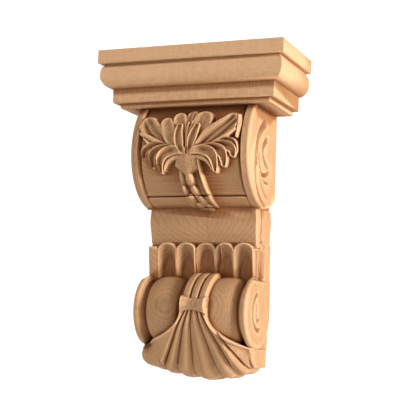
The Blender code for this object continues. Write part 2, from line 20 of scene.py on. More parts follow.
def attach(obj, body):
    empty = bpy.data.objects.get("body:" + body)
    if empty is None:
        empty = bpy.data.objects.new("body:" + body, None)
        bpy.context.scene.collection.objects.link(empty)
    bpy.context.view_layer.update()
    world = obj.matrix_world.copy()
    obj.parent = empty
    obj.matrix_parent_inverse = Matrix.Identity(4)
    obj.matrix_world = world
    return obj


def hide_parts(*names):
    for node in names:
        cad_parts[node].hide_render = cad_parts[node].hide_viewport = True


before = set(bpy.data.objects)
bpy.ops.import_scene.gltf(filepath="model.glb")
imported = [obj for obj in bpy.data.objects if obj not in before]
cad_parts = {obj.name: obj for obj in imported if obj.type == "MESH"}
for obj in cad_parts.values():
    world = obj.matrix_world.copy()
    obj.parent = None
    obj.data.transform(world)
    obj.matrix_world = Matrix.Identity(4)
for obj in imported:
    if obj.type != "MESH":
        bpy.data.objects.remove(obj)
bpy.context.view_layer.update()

log = logging.getLogger("carved_capital")

Array = np.ndarray
Point = tuple[float, float]
Colour = tuple[float, float, float, float]

MM = 0.001
CLEAR = -99.0


class Face(Enum):
    """The four faces that each ring runs round."""

    FRONT = 0
    RIGHT = 1
    BACK = 2
    LEFT = 3


class Socket(Enum):
    """The kinds of socket on the finish's node groups."""

    VALUE = "NodeSocketFloat"
    VECTOR = "NodeSocketVector"
    COLOUR = "NodeSocketColor"


def ramp(x: Array, low: float, high: float) -> Array:
    """Gives a soft step from 0 to 1.

    Args:
        x: Where to read it.
        low: The place below which it is 0.
        high: The place above which it is 1.

    Returns:
        The step's height at each place.
    """
    s = np.clip((x - low) / (high - low), 0.0, 1.0)
    return s * s * (3.0 - 2.0 * s)


def ridge(x: Array, width: float) -> Array:
    """Gives a soft ridge of height 1 about zero, this wide."""
    return np.exp(-((x / width) ** 2))


def fall(offset: Array, radius: float) -> Array:
    """Gives how far a circle's edge lies behind its foremost point, at this offset from it."""
    s = np.clip(np.abs(offset) / radius, 0.0, 1.0)
    return radius * (1.0 - np.sqrt(1.0 - s * s))


def over(below: Array, above: Array, mask: Array) -> Array:
    """Lays one surface over another where the mask is 1."""
    return below + (above - below) * mask


def melted(below: Array, above: Array, reach: float = 1.8) -> Array:
    """Gives the higher of two surfaces, with a soft join wherever the second one stands well up."""
    soft = reach * np.clip(above / 3.0, 0.0, 1.0) + 0.001
    share = np.clip(0.5 + 0.5 * (above - below) / soft, 0.0, 1.0)
    return over(below, above, share) + soft * share * (1.0 - share)


def bezier(root: Point, bend: Point, tip: Point, count: int = 14) -> Array:
    """Draws a curve that leaves one point towards a second and ends at a third.

    Args:
        root: Where it starts.
        bend: The point it is drawn towards.
        tip: Where it ends.
        count: How many points it has.

    Returns:
        The points, one to a row.
    """
    s = np.linspace(0.0, 1.0, count)[:, None]
    return (1 - s) ** 2 * np.array(root) + 2 * s * (1 - s) * np.array(bend) + s**2 * np.array(tip)


def scroll_line(centre: Point, radii: Point, start: float, end: float, count: int = 22) -> Array:
    """Draws part of a spiral on a side face.

    Args:
        centre: Its centre, as (depth, drop).
        radii: Its radius at the start and at the end.
        start: The angle it starts at, in degrees from straight forward, upward positive.
        end: The angle it ends at.
        count: How many points it has.

    Returns:
        The points as (depth, drop), one to a row.
    """
    angle = np.radians(np.linspace(start, end, count))
    radius = np.linspace(radii[0], radii[1], count)
    return np.stack([centre[0] + radius * np.cos(angle), centre[1] - radius * np.sin(angle)], axis=1)


def follow(x: Array, y: Array, points: Array) -> tuple[Array, Array, Array]:
    """Measures places against a line of points.

    Args:
        x: First coordinate of each place.
        y: Second coordinate of each place.
        points: The line, one point to a row.

    Returns:
        The distance to the line, how far to its left the place lies, and the share of the line's length beside it.
    """
    shape = np.broadcast(x, y).shape
    best, side, share = np.full(shape, 1e9), np.zeros(shape), np.zeros(shape)
    count = len(points) - 1
    for i in range(count):
        ax, ay = points[i]
        dx, dy = points[i + 1][0] - ax, points[i + 1][1] - ay
        length = math.hypot(dx, dy)
        s = np.clip(((x - ax) * dx + (y - ay) * dy) / length**2, 0.0, 1.0)
        far = np.hypot(x - ax - s * dx, y - ay - s * dy)
        nearer = far < best
        best = np.where(nearer, far, best)
        side = np.where(nearer, (dx * (y - ay) - dy * (x - ax)) / length, side)
        share = np.where(nearer, (i + s) / count, share)
    return best, side, share


def gouge(x: Array, y: Array, points: Array, width: float, deep: float) -> Array:
    """Gives the depth of a gouged line, full along its length and run out at its end.

    Args:
        x: First coordinate of each place.
        y: Second coordinate of each place.
        points: The line it follows.
        width: Half its width.
        deep: Its depth in the middle.

    Returns:
        The depth cut at each place.
    """
    far, _, share = follow(x, y, points)
    return deep * np.clip(1.0 - (far / width) ** 2, 0.0, 1.0) * ramp(1.0 - share, -0.3, 0.15)


@dataclass(frozen=True)
class Leaf:
    """One lobe of the palmette, drawn from its root past its bend to its tip as (across, up) from the heart."""

    root: Point
    bend: Point
    tip: Point
    half: float
    rim: float
    hollow: float = 0.0
    lean: float = 0.0
    slim: float = 0.3
    end: float = 1.0
    dome: float = 0.0
    fold: float = 0.0

    def half_at(self, share: Array) -> Array:
        """Gives the lobe's half width at this share of its length."""
        swell = self.slim + (1.0 - self.slim) * ramp(share, -0.05, 0.65)
        return self.half * swell * (1.0 - (1.0 - self.end) * np.asarray(share) ** 3)

    def carve(self, ground: Array, across: Array, up: Array) -> Array:
        """Lays the lobe over what is carved already.

        Args:
            ground: Height of the carving below.
            across: Place across the panel.
            up: Place up the panel.

        Returns:
            The height with the lobe on it.
        """
        bend, tip = np.array(self.bend), np.array(self.tip)
        back = (bend - tip) / np.hypot(*(bend - tip))
        spine = bezier(self.root, self.bend, tip + back * float(self.half_at(1.0)))
        far, side, share = follow(across, up, spine)
        half = self.half_at(share)
        r = np.clip(far / half, 0.0, 1.3)
        t = np.clip(side / half, -1.0, 1.0)
        inside = np.clip(1.0 - (r / 0.88) ** 2, 0.0, 1.0)
        bowl = self.hollow * inside * (1.0 + self.lean * t) * ramp(share, 0.02, 0.3)
        crown = self.rim * (0.85 + 0.15 * share) - bowl
        crown = crown + self.fold * np.cos(3.0 * np.pi * t) * ramp(share, 0.05, 0.4) * np.sqrt(inside)
        crown = crown - self.dome * np.clip(r, 0.0, 1.0) ** 2
        crown = crown - 0.9 * np.clip((r - 0.8) / 0.2, 0.0, 1.0) ** 2
        return over(ground, crown, 1.0 - ramp(far - half, -0.45, 0.25))


def mirrored(leaf: Leaf, grow: float = 0.0) -> Leaf:
    """Gives the same lobe on the other side, moved out this far at its tip."""
    return Leaf(
        (-leaf.root[0], leaf.root[1]),
        (-leaf.bend[0] + grow / 2, leaf.bend[1]),
        (-leaf.tip[0] + grow, leaf.tip[1]),
        leaf.half,
        leaf.rim,
        leaf.hollow,
        -leaf.lean,
        leaf.slim,
        leaf.end,
        leaf.dome,
        leaf.fold,
    )


@dataclass(frozen=True)
class Palmette:
    """The leaf on the scroll's panel, with its hanging stem. Each lobe lies over those before it."""

    reach: Point = (30.0, 6.0)
    bed: float = 3.0
    upright: tuple[Leaf, ...] = (
        Leaf((0.5, 4.0), (0.5, 18.0), (0.8, 36.2), 6.6, 4.4, 1.0, 0.0, 0.3, 0.75, 0.6, 0.5),
        Leaf((-1.0, 3.0), (-6.0, 15.0), (-10.2, 34.8), 6.8, 5.8, 2.2, -0.1, 0.25, 0.75, 0.4, 0.2),
        Leaf((2.0, 3.0), (8.0, 14.0), (11.4, 35.4), 9.4, 5.8, 2.4, 0.2, 0.25, 0.82, 0.4, 0.4),
        Leaf((-3.0, 2.0), (-24.0, 9.0), (-37.6, 31.0), 9.6, 6.4, 4.2, 0.3, 0.25, 0.8, 0.2, 0.9),
        Leaf((3.0, 2.0), (18.0, 10.5), (38.0, 31.0), 10.4, 6.4, 4.0, -0.2, 0.25, 0.62, 0.2, 0.9),
        Leaf((-2.0, 2.5), (-13.5, 11.0), (-20.3, 30.6), 6.4, 6.6, 2.0, -0.5, 0.3, 0.75, 0.6, 0.2),
        Leaf((-4.0, 1.8), (-24.0, 11.0), (-40.8, 19.4), 2.3, 6.2, 0.0, 0.0, 0.6, 0.8, 1.6),
        Leaf((4.0, 2.0), (22.0, 8.0), (38.0, 20.5), 2.2, 6.2, 0.0, 0.0, 0.6, 0.8, 1.6),
        Leaf((38.4, 14.0), (40.4, 24.0), (37.8, 32.0), 1.8, 5.8, 0.0, 0.0, 0.7, 0.7, 1.6),
        Leaf((22.0, 10.0), (37.5, 14.5), (37.8, 0.6), 3.6, 5.6, 3.0, 0.5, 0.4, 0.6),
    )
    hooks: tuple[Leaf, ...] = (
        Leaf((-8.0, 4.5), (-36.0, 12.0), (-35.0, -2.0), 4.8, 5.4, 3.4, -0.6, 0.6, 0.5),
        Leaf((-5.0, 3.5), (-31.0, 10.0), (-27.6, -8.8), 5.2, 6.6, 3.8, -0.6, 0.7, 0.4),
        Leaf((-3.0, 2.5), (-23.5, 8.5), (-20.8, -12.8), 5.0, 7.8, 3.4, -0.6, 0.8, 0.35),
    )
    calyx: Leaf = Leaf((-0.6, -15.5), (-0.4, -6.0), (0.0, 5.0), 10.5, 6.8, 0.0, 0.0, 0.16, 0.9, 3.0)
    lining: Leaf = Leaf((-3.0, -1.0), (-15.0, 1.5), (-18.8, -11.0), 2.0, 6.4, 0.0, 0.0, 0.9, 0.5, 1.4)
    spoons: tuple[Leaf, ...] = (
        Leaf((-0.4, 2.0), (-0.8, 12.0), (-0.8, 27.0), 1.1, 5.6, 0.0, 0.0, 0.6, 1.0, 0.8),
        Leaf((0.6, 2.0), (1.4, 12.0), (2.4, 28.0), 1.1, 5.4, 0.0, 0.0, 0.6, 1.0, 0.8),
        Leaf((-1.2, 1.0), (-8.8, 9.0), (-6.8, 25.8), 4.3, 7.0, 2.8, 0.1, 0.25, 0.6),
        Leaf((1.4, 1.0), (3.0, 12.0), (7.5, 25.4), 4.1, 6.8, 2.6, -0.1, 0.25, 0.6),
    )
    stem: tuple[Leaf, ...] = (
        Leaf((0.0, -8.0), (1.0, -22.0), (3.0, -48.0), 8.0, 1.9, 0.0, 0.0, 0.8, 1.0, 0.8),
        Leaf((-6.2, -6.0), (-7.4, -20.0), (-4.5, -42.0), 2.6, 3.3, 0.0, 0.0, 0.6, 0.8, 1.6),
        Leaf((8.6, -2.0), (10.8, -17.0), (13.8, -41.0), 1.5, 6.8, 0.0, 0.0, 0.7, 1.1, 1.8),
    )
    beads: tuple[tuple[float, float, float, float], ...] = (
        (1.0, -16.6, 3.7, 5.2),
        (2.4, -24.8, 3.1, 4.7),
        (4.9, -31.2, 3.1, 3.4),
        (7.6, -36.4, 3.6, 3.6),
        (-2.6, -29.6, 2.8, 3.6),
        (0.6, -34.8, 3.0, 3.0),
        (-5.4, -24.0, 1.9, 3.4),
        (14.0, -38.0, 2.7, 3.0),
    )

    def height(self, across: Array, up: Array) -> Array:
        """Gives the carving's height over the panel.

        Args:
            across: Place across, from the heart.
            up: Place up, from the heart.

        Returns:
            The height at each place.
        """
        found = np.zeros(np.broadcast(across, up).shape)
        for leaf in self.stem:
            found = leaf.carve(found, across, up)
        near, far = self.reach
        out = np.hypot(across, up) - near - far * np.abs(across) / (np.abs(across) + np.abs(up) + 1.0)
        spread = (1.0 - ramp(out, -2.5, 0.5)) * ramp(up - 0.3 * np.abs(across), -1.0, 2.0)
        found = np.maximum(found, self.bed * spread)
        for leaf in self.upright:
            found = leaf.carve(found, across, up)
        for leaf in self.hooks:
            found = leaf.carve(found, across, up)
            found = mirrored(leaf, 1.2).carve(found, across, up)
        for leaf in (self.lining, mirrored(self.lining, 1.2)):
            found = leaf.carve(found, across, up)
        found = melted(found, self.calyx.carve(np.zeros(found.shape), across, up))
        for leaf in self.spoons:
            found = leaf.carve(found, across, up)
        return np.maximum(found, self.beading(across, up))

    def beading(self, across: Array, up: Array) -> Array:
        """Gives the height of the beads down the stem, and 0 beside them."""
        found = np.zeros(np.broadcast(across, up).shape)
        for x, y, wide, tall in self.beads:
            r = np.hypot((across - x) / wide, (up - y) / tall)
            found = np.maximum(found, np.where(r < 1.0, 2.4 + 5.4 * np.sqrt(np.clip(1.0 - r * r, 0.0, 1.0)), 0.0))
        return found


@dataclass(frozen=True)
class Course:
    """Where each course of the block ends, as drops."""

    slab: float = 10.6
    quirk: float = 12.4
    ovolo: float = 29.2
    band: float = 40.2
    soffit: float = 43.6
    scroll: float = 119.6
    neck: float = 145.6
    flutes: float = 171.0
    roll: float = 225.0
    shell: float = 250.0


@dataclass(frozen=True)
class Abacus:
    """The moulded top: a slab, a hollow, an ovolo, a flat band and a small fillet."""

    width: float = 150.0
    depth: float = 72.0
    chamfer: float = 0.5
    quirk_inset: float = 4.0
    bulge: float = 2.5
    band_inset: float = 9.6
    fillet_inset: float = 14.3

    def ovolo(self, course: Course) -> list[Point]:
        """Gives (drop, inset) down the ovolo: a shallow swell, then a quarter-round down to the band."""
        widest = course.quirk + 0.42 * (course.ovolo - course.quirk)
        out = self.quirk_inset - self.bulge
        rows = []
        for s in np.linspace(0.02, 1.0, 13):
            rows.append((course.quirk + s * (widest - course.quirk), out + 0.85 * self.bulge * (1 - (2 * s - s * s) ** 0.5)))
        for angle in np.radians(np.linspace(5.0, 86.0, 22)):
            inset = out + (self.band_inset - out) * (1.0 - math.cos(angle))
            rows.append((widest + math.sin(angle) * (course.ovolo - widest), inset))
        return rows

    def corners(self, course: Course) -> list[Point]:
        """Gives (drop, inset) at each change of the moulding, from the slab's top edge to the soffit."""
        rows = [(0.0, self.chamfer), (self.chamfer, 0.0), (course.slab - self.chamfer, 0.0), (course.slab, self.chamfer)]
        rows += [(course.slab + 0.1, self.quirk_inset), (course.quirk, self.quirk_inset)] + self.ovolo(course)
        rows += [(course.ovolo, self.band_inset), (course.band - 0.4, self.band_inset)]
        rows += [(course.band, self.band_inset + 0.4), (course.band + 0.1, self.fillet_inset)]
        return rows + [(course.soffit, self.fillet_inset)]

    def rows(self, course: Course, step: float) -> list[Point]:
        """Gives the moulding's rows with none further apart than the step."""
        corners = self.corners(course)
        rows = []
        for (drop, inset), (next_drop, next_inset) in zip(corners, corners[1:]):
            count = max(1, math.ceil(math.hypot(next_drop - drop, next_inset - inset) / step))
            rows += [(drop + (next_drop - drop) * i / count, inset + (next_inset - inset) * i / count) for i in range(count)]
        return rows + corners[-1:]


@dataclass(frozen=True)
class Scroll:
    """The rolled block below the abacus: two raised rims, a sunk panel and a spiral on each side."""

    half: float = 47.9
    depth: float = 64.3
    brow: float = 50.0
    chin: float = 41.1
    heel: float = 22.0
    rim_width: float = 6.6
    panel_sink: float = 2.1
    strip: float = 8.2
    chip: float = 2.6
    tails: tuple[tuple[float, float, float], ...] = ((4.0, 9.0, 2.4), (8.0, 4.4, 3.4))
    heart_rise: float = 5.5
    volute: tuple[tuple[Point, Point, Point, float, float], ...] = (
        ((46.0, 7.0), (46.5, -15.0), (27.5, -24.0), 3.8, 4.2),
        ((46.4, 2.0), (53.0, 29.0), (23.0, 40.0), 2.2, 3.4),
        ((22.5, -12.5), (41.0, -1.0), (19.0, 9.0), 3.0, 3.8),
        ((39.8, 2.0), (36.0, 22.5), (17.0, 12.0), 2.0, 3.0),
        ((37.2, 16.0), (33.0, 28.0), (19.0, 31.5), 1.9, 1.9),
        ((32.5, 16.5), (27.0, 22.0), (18.5, 20.5), 1.4, 1.5),
    )
    palmette: Palmette = field(default_factory=Palmette)

    def centre(self, course: Course) -> float:
        """Gives the drop at which the scroll stands furthest forward."""
        return course.scroll - self.chin

    def front(self, across: Array, drop: Array, course: Course) -> Array:
        """Gives the front's depth.

        Args:
            across: Place across.
            drop: Place down.
            course: Where the courses end.

        Returns:
            Depth from the wall at each place.
        """
        below = drop - self.centre(course)
        rim = self.depth - np.where(below < 0, fall(below, self.brow), fall(below, self.chin))
        off = np.abs(across) - (self.half - self.rim_width)
        inside = 1.0 - ramp(off, -0.5, 0.5)
        line = drop - course.scroll + self.strip
        sink = self.panel_sink * inside + 1.3 * ridge(off + 1.3, 0.9)
        sink = sink - 1.3 * ramp(line, 0.2, 1.0) * (1.0 - ramp(off, -2.0, 0.0)) + 1.5 * ridge(line, 0.7) * inside
        leaf = self.palmette.height(across, -below + self.heart_rise)
        return rim - sink + leaf * (1.0 - 0.25 * ramp(below, 0.62 * self.chin, self.chin))

    def tail(self, across: Array, drop: Array, course: Course) -> Array:
        """Gives the depth of the stem's end where it hangs just below the scroll, or clear beside it."""
        found = np.full(np.broadcast(across, drop).shape, CLEAR)
        for middle, half, long in self.tails:
            r = np.hypot((across - middle) / half, np.clip(drop - course.scroll, 0.0, None) / long)
            found = np.maximum(found, np.where(r < 1.0, self.depth - self.chin + 11.4 * np.sqrt(np.clip(1.0 - r * r, 0, 1)), CLEAR))
        return found

    def side(self, depth: Array, drop: Array, course: Course, neck_half: float) -> Array:
        """Gives how far the side stands out, with its spiral and the rounded end over the neck.

        Args:
            depth: Place forward from the wall.
            drop: Place down.
            course: Where the courses end.
            neck_half: Half width of the neck.

        Returns:
            The relief, mostly below zero.
        """
        y = drop - self.centre(course)
        end = course.scroll - 8.6 * np.clip(1.0 - depth / self.heel, 0.0, 1.0) ** 2
        found = -(self.half - neck_half) * ramp(drop, end - 1.0, end + 0.2)
        for root, bend, tip, width, deep in self.volute:
            found = found - gouge(depth, y, bezier(root, bend, tip), width, deep)
        ragged = np.sin(depth * 1.7 + 1.7 * np.sin(drop * 1.9)) * np.sin(depth * 0.7 + drop * 2.1)
        torn = ridge(drop - course.soffit - 0.4, 2.2) * ramp(depth, 4.0, 18.0)
        return found - self.chip * torn * ramp(ragged, -0.3, 0.4)


@dataclass(frozen=True)
class Neck:
    """The plain hollow between the scroll and the flutes."""

    half: float = 43.8
    depth: float = 30.8
    lean: float = 3.4

    def front(self, drop: Array, course: Course) -> Array:
        """Gives the front's depth, which leans back a little towards the flutes."""
        return self.depth - self.lean * ramp(drop, course.neck - 15.6, course.neck + 4.0)

    def side(self, depth: Array, drop: Array, course: Course) -> Array:
        """Gives the side's relief: a raised back strip with a waved edge, and a gouge that ends in a curl."""
        y = drop - course.scroll
        line = np.array([(20.5, 1.5), (20.0, 12.0), (19.0, 21.0), (17.0, 24.5), (19.5, 25.5)])
        wave = 15.0 + 2.0 * np.sin(y * 0.24)
        found = 0.9 * (1.0 - ramp(depth - wave, -2.0, 2.0))
        return found - gouge(depth, y, line, 1.7, 2.2)


@dataclass(frozen=True)
class Flutes:
    """The fluted band, whose arched tops stand proud of the neck."""

    half: float = 43.4
    depth: float = 34.8
    lean: float = 4.0
    pitch: float = 15.7
    shift: float = 3.6
    arris: float = 0.7
    rise: float = 5.2
    cut: float = 6.2
    edge: float = -36.4

    def front(self, across: Array, drop: Array, course: Course) -> Array:
        """Gives the front's depth, or clear above the arches.

        Args:
            across: Place across.
            drop: Place down.
            course: Where the courses end.

        Returns:
            Depth from the wall at each place.
        """
        place = (across - self.shift) / self.pitch
        off = np.abs(place - np.round(place)) * self.pitch
        bay = self.pitch / 2 - self.arris
        lean = np.clip((place - np.round(place)) * self.pitch / bay, -1.0, 1.0)
        lean = lean - 0.22 * (1.0 - lean**2)
        crown = np.clip(1.0 - lean**2, 0.0, 1.0) ** 0.85 * ramp(across, self.edge - 0.3, self.edge + 0.3)
        arch = np.clip(1.0 - (off / (self.pitch / 2)) ** 2, 0.0, 1.0) ** 0.62
        arch = over(np.full(arch.shape, 0.45), arch, ramp(across, self.edge - 0.6, self.edge + 0.2))
        top = course.neck + self.rise * (1.0 - arch)
        face = self.depth - self.lean * (drop - course.neck) / (course.flutes - course.neck)
        run = np.clip(drop - top - 1.3, 0.0, None)
        cut = self.cut * crown * (1.0 - np.exp(-run / 3.6))
        lip = 1.2 * np.exp(-np.clip(drop - top, 0.0, None) / 0.8)
        return np.where(drop >= top, face - cut - lip, CLEAR)

    def side(self, depth: Array, drop: Array, course: Course) -> Array:
        """Gives the side's relief: two narrow flutes and a plain raised strip behind them."""
        found = 2.0 * (1.0 - ramp(depth, 12.6, 14.6))
        for middle, half in ((27.0, 3.7), (18.6, 4.3)):
            u = np.clip(np.abs(depth - middle) / half, 0.0, 1.0)
            arch = ramp(drop - course.neck, 1.4 + 2.5 * u, 4.4 + 2.5 * u)
            found = found - 3.0 * np.sqrt(1.0 - u * u) * arch
        return found * (1.0 - ramp(drop, course.flutes + 1.6, course.flutes + 4.0))


@dataclass(frozen=True)
class Bolster:
    """The turned roll below the flutes: a rim and a hollow at each end and a bulb each side of the strap."""

    half: float = 45.9
    axis: float = 26.5
    rim: float = 27.0
    rim_width: float = 4.4
    bulb: float = 26.2
    valley: float = 20.4
    bulb_middle: float = 23.8
    bulb_half: float = 12.9

    def centre(self, course: Course) -> float:
        """Gives the drop of the roll's axis."""
        return course.flutes + self.rim

    def radius(self, across: Array) -> Array:
        """Gives the roll's radius at this place across."""
        x = np.abs(across)
        u = np.clip(np.abs(x - self.bulb_middle) / self.bulb_half, 0.0, 1.0)
        bulb = self.valley + (self.bulb - self.valley) * (1.0 - u**2.7) ** 0.55
        inner = self.half - self.rim_width
        rise = np.clip((x - inner + 4.2) / 4.2, 0.0, 1.0)
        flare = self.valley + (self.rim - 0.6 - self.valley) * rise**1.35
        lobe = np.clip(np.abs(x - self.half + self.rim_width / 2) / (self.rim_width / 2), 0.0, 1.0)
        return np.where(x < inner, np.maximum(bulb, flare), self.rim - 0.6 * lobe**2)

    def drape(self, radius: Array, drop: Array, course: Course) -> Array:
        """Gives the depth of a surface of this radius about the roll's axis, or clear above and below it."""
        off = drop - self.centre(course)
        inside = np.abs(off) < radius
        return np.where(inside, self.axis + np.sqrt(np.clip(radius**2 - off**2, 0.0, None)), CLEAR)

    def side(self, depth: Array, drop: Array, course: Course) -> Array:
        """Gives the end's relief: a dished face inside its rim, a C-shaped groove and a curl in it."""
        x, y = depth - self.axis, drop - self.centre(course)
        r = np.hypot(x, y) / self.rim
        found = -0.8 * (1.0 - ramp(r, 0.7, 0.84)) * ramp(depth, 0.3 * self.axis, 0.6 * self.axis)
        found = found - gouge(x, y, scroll_line((-4.5, 0.0), (14.5, 13.0), 70.0, -96.0), 2.0, 2.8)
        curl = np.array([(2.0, -6.0), (1.5, 2.0), (-1.0, 6.5), (-4.0, 5.0)])
        return found - gouge(x, y, curl, 1.6, 2.3) - 1.4 * ramp(r, 0.985, 1.02) * (y > 0)


@dataclass(frozen=True)
class Tie:
    """The three-strand strap over the roll and the bow-shaped knot that gathers it."""

    half: float = 9.8
    shift: float = 4.8
    lift: float = 3.2
    knot_half: float = 10.2
    knot_height: float = 12.6
    knot_lift: float = 6.6

    def knot_centre(self, roll: Bolster, course: Course) -> float:
        """Gives the drop of the knot's middle."""
        return roll.centre(course) - 0.17 * roll.rim

    def strap(self, across: Array, drop: Array, roll: Bolster, course: Course) -> tuple[Array, Array]:
        """Gives the strap's depth and where it lies.

        Args:
            across: Place across.
            drop: Place down.
            roll: The roll it lies on.
            course: Where the courses end.

        Returns:
            Its depth and its mask.
        """
        rise = roll.centre(course) - drop
        x = across - self.shift - 0.8 * ramp(rise, 0.2 * roll.rim, 1.0 * roll.rim)
        half = self.half + 0.6 * ramp(rise, 0.3 * roll.rim, 0.95 * roll.rim)
        place = np.clip((x / half + 1.0) * 1.5, 0.0, 2.999)
        strand = 1.0 - np.abs(2.0 * (place - np.floor(place)) - 1.0) ** 5
        radius = roll.bulb + self.lift - 2.4 * (1.0 - strand)
        mask = (1.0 - ramp(np.abs(x) - half, -0.3, 0.3)) * (drop < self.knot_centre(roll, course) + 2.0)
        return roll.drape(radius, drop, course), mask

    def knot(self, across: Array, drop: Array, roll: Bolster, course: Course) -> tuple[Array, Array]:
        """Gives the knot's depth and where it lies."""
        x = (across - self.shift) / self.knot_half
        far = np.clip(np.abs(x), 0.0, 1.4)
        half = 0.5 * self.knot_height * (0.66 + 0.34 * np.clip(far, 0.0, 1.0) ** 1.6)
        y = (drop - self.knot_centre(roll, course) - 0.6 * x) / half
        front = roll.axis + roll.bulb + self.knot_lift - 1.6 * y**2 - 2.0 * (1.0 - np.clip(far, 0, 1) ** 1.5)
        front = front + 0.5 * np.cos(far * 7.0) * np.clip(1.0 - np.abs(y), 0.0, 1.0)
        mask = (1.0 - ramp((far - 1.0) * self.knot_half, -0.9, 0.5)) * (1.0 - ramp((np.abs(y) - 1.0) * half, -0.8, 0.5))
        return front, mask


@dataclass(frozen=True)
class Shell:
    """The fan shell that hangs from the knot over the roll: five rounded ribs, two plain flanks and a scalloped edge."""

    half: float = 44.0
    lift: float = 3.0
    top_half: float = 10.6
    shift: float = 5.6
    relief: float = 4.6
    scallop: float = 3.4
    arch: float = 9.6
    corner_drop: float = 1.6
    valleys: tuple[float, float, float] = (10.3, 24.3, 35.6)
    fan_start: float = 0.17
    slope: float = 0.66
    under: float = 13.0
    flank_left: float = 38.4
    flank_right: float = 35.4

    def start(self, roll: Bolster, tie: Tie, course: Course) -> float:
        """Gives the drop of the shell's top, behind the knot."""
        return tie.knot_centre(roll, course) + 0.2 * tie.knot_height

    def fan(self, drop: Array, roll: Bolster, tie: Tie, course: Course) -> Array:
        """Gives how far the ribs have spread: 1 near the lower edge."""
        start = self.start(roll, tie, course)
        return self.fan_start + (1.1 - self.fan_start) * np.clip((drop - start) / (course.shell - start), 0.0, 1.0)

    def rib(self, spread: Array) -> Array:
        """Gives 1 on a crest and 0 in a valley, by the place across on the opened fan."""
        x = np.abs(spread)
        first, second, third = self.valleys
        found = np.clip((x - third) / 3.4, 0.0, 1.0)
        found = 1.0 - (1.0 - found) ** 2
        for middle, half in ((0.0, first), ((first + second) / 2, (second - first) / 2), ((second + third) / 2, (third - second) / 2)):
            v = np.abs(x - middle) / half
            found = np.where(v < 1.0, 1.0 - v**1.75, found)
        return found

    def bottom(self, across: Array, course: Course) -> Array:
        """Gives the drop of the scalloped lower edge."""
        x = across - self.shift
        share = np.clip(np.abs(x) / (self.half - np.sign(x) * self.shift), 0.0, 1.0)
        notch = self.scallop * (1.0 - self.rib(x)) ** 1.5 * (1.0 - ramp(share, 0.93, 1.0))
        found = course.shell - self.arch * share**1.9 - notch
        return found - self.corner_drop * ramp(across, 0.75 * self.half, self.half)

    def front(self, across: Array, drop: Array, roll: Bolster, tie: Tie, course: Course) -> tuple[Array, Array]:
        """Gives the shell's depth and where it lies.

        Args:
            across: Place across.
            drop: Place down.
            roll: The roll it hangs over.
            tie: The tie it hangs from.
            course: Where the courses end.

        Returns:
            Its depth and its mask.
        """
        start = self.start(roll, tie, course)
        fan = self.fan(drop, roll, tie, course)
        radius = roll.bulb + self.lift
        lean_from = roll.centre(course) + 0.55 * radius
        lean_depth = roll.axis + radius * math.sqrt(1.0 - 0.55**2)
        front = np.where(drop < lean_from, roll.drape(radius, drop, course), lean_depth - self.slope * (drop - lean_from))
        low = drop - course.roll
        left, right = self.flank_left - 0.13 * (low - 7.0) ** 2, self.flank_right - 0.5 * (low + 2.0)
        flank = np.where(across < 0, left, right)
        front = over(front, flank, ramp(np.abs(across) - 0.62 * self.half, 0.0, 0.36 * self.half) * ramp(low, -8.0, 0.5))
        depth = front - self.relief * fan**0.6 * (1.0 - self.rib((across - self.shift) / fan))
        s = np.clip((drop - start) / (course.roll + 0.6 - start), 0.0, 1.0)
        edge = self.top_half + (self.half + 4.0 - self.top_half) * s**2.5
        steep = (self.half + 4.0 - self.top_half) * 2.5 * s**1.5 / (course.roll + 0.6 - start)
        off = (np.abs(across - tie.shift * (1.0 - s**1.5)) - edge) / np.sqrt(1.0 + steep**2)
        depth = depth + 1.3 * ridge(off + 1.2, 0.8) * (drop < course.roll + 3.0)
        gap = np.clip((self.bottom(across, course) - drop) / 9.0, 0.0, 1.0)
        under = self.under - 6.0 * ramp(np.abs(across), 0.7 * self.half, self.half)
        depth = depth - under * (1.0 - np.sqrt(1.0 - (1.0 - gap) ** 2))
        return depth, (1.0 - ramp(off, -0.3, 0.3)) * (drop > start)


@dataclass(frozen=True)
class GrainLook:
    """Colours and sizes of the beech's figure and its glue joint, with the painted shade and the pale for the edges, in
    linear colour and millimetres.
    """

    pale: Colour = (0.53, 0.352, 0.213, 1.0)
    warm: Colour = (0.46, 0.29, 0.158, 1.0)
    late: Colour = (0.28, 0.135, 0.055, 1.0)
    # Dark brown for the glue joint, and for the painted shade laid into the carving's hollows.
    seam_and_shade: Colour = (0.2, 0.062, 0.01, 1.0)
    # Light tan for the raised edges: partly rubbed wood, partly a painted highlight.
    worn_and_highlight: Colour = (0.7, 0.48, 0.3, 1.0)
    ring_spacing: float = 1.7
    left_tilt: tuple[float, float, float] = (0.226, -1.0, 0.19)
    right_tilt: tuple[float, float, float] = (-0.37, -1.0, 0.1)
    board_tilt: tuple[float, float, float] = (0.8, -0.25, 0.03)
    board: float = 81.4
    stain_top: float = 104.0
    stain_foot: float = 95.0
    glue_line: float = 4.4
    roughness: float = 0.62


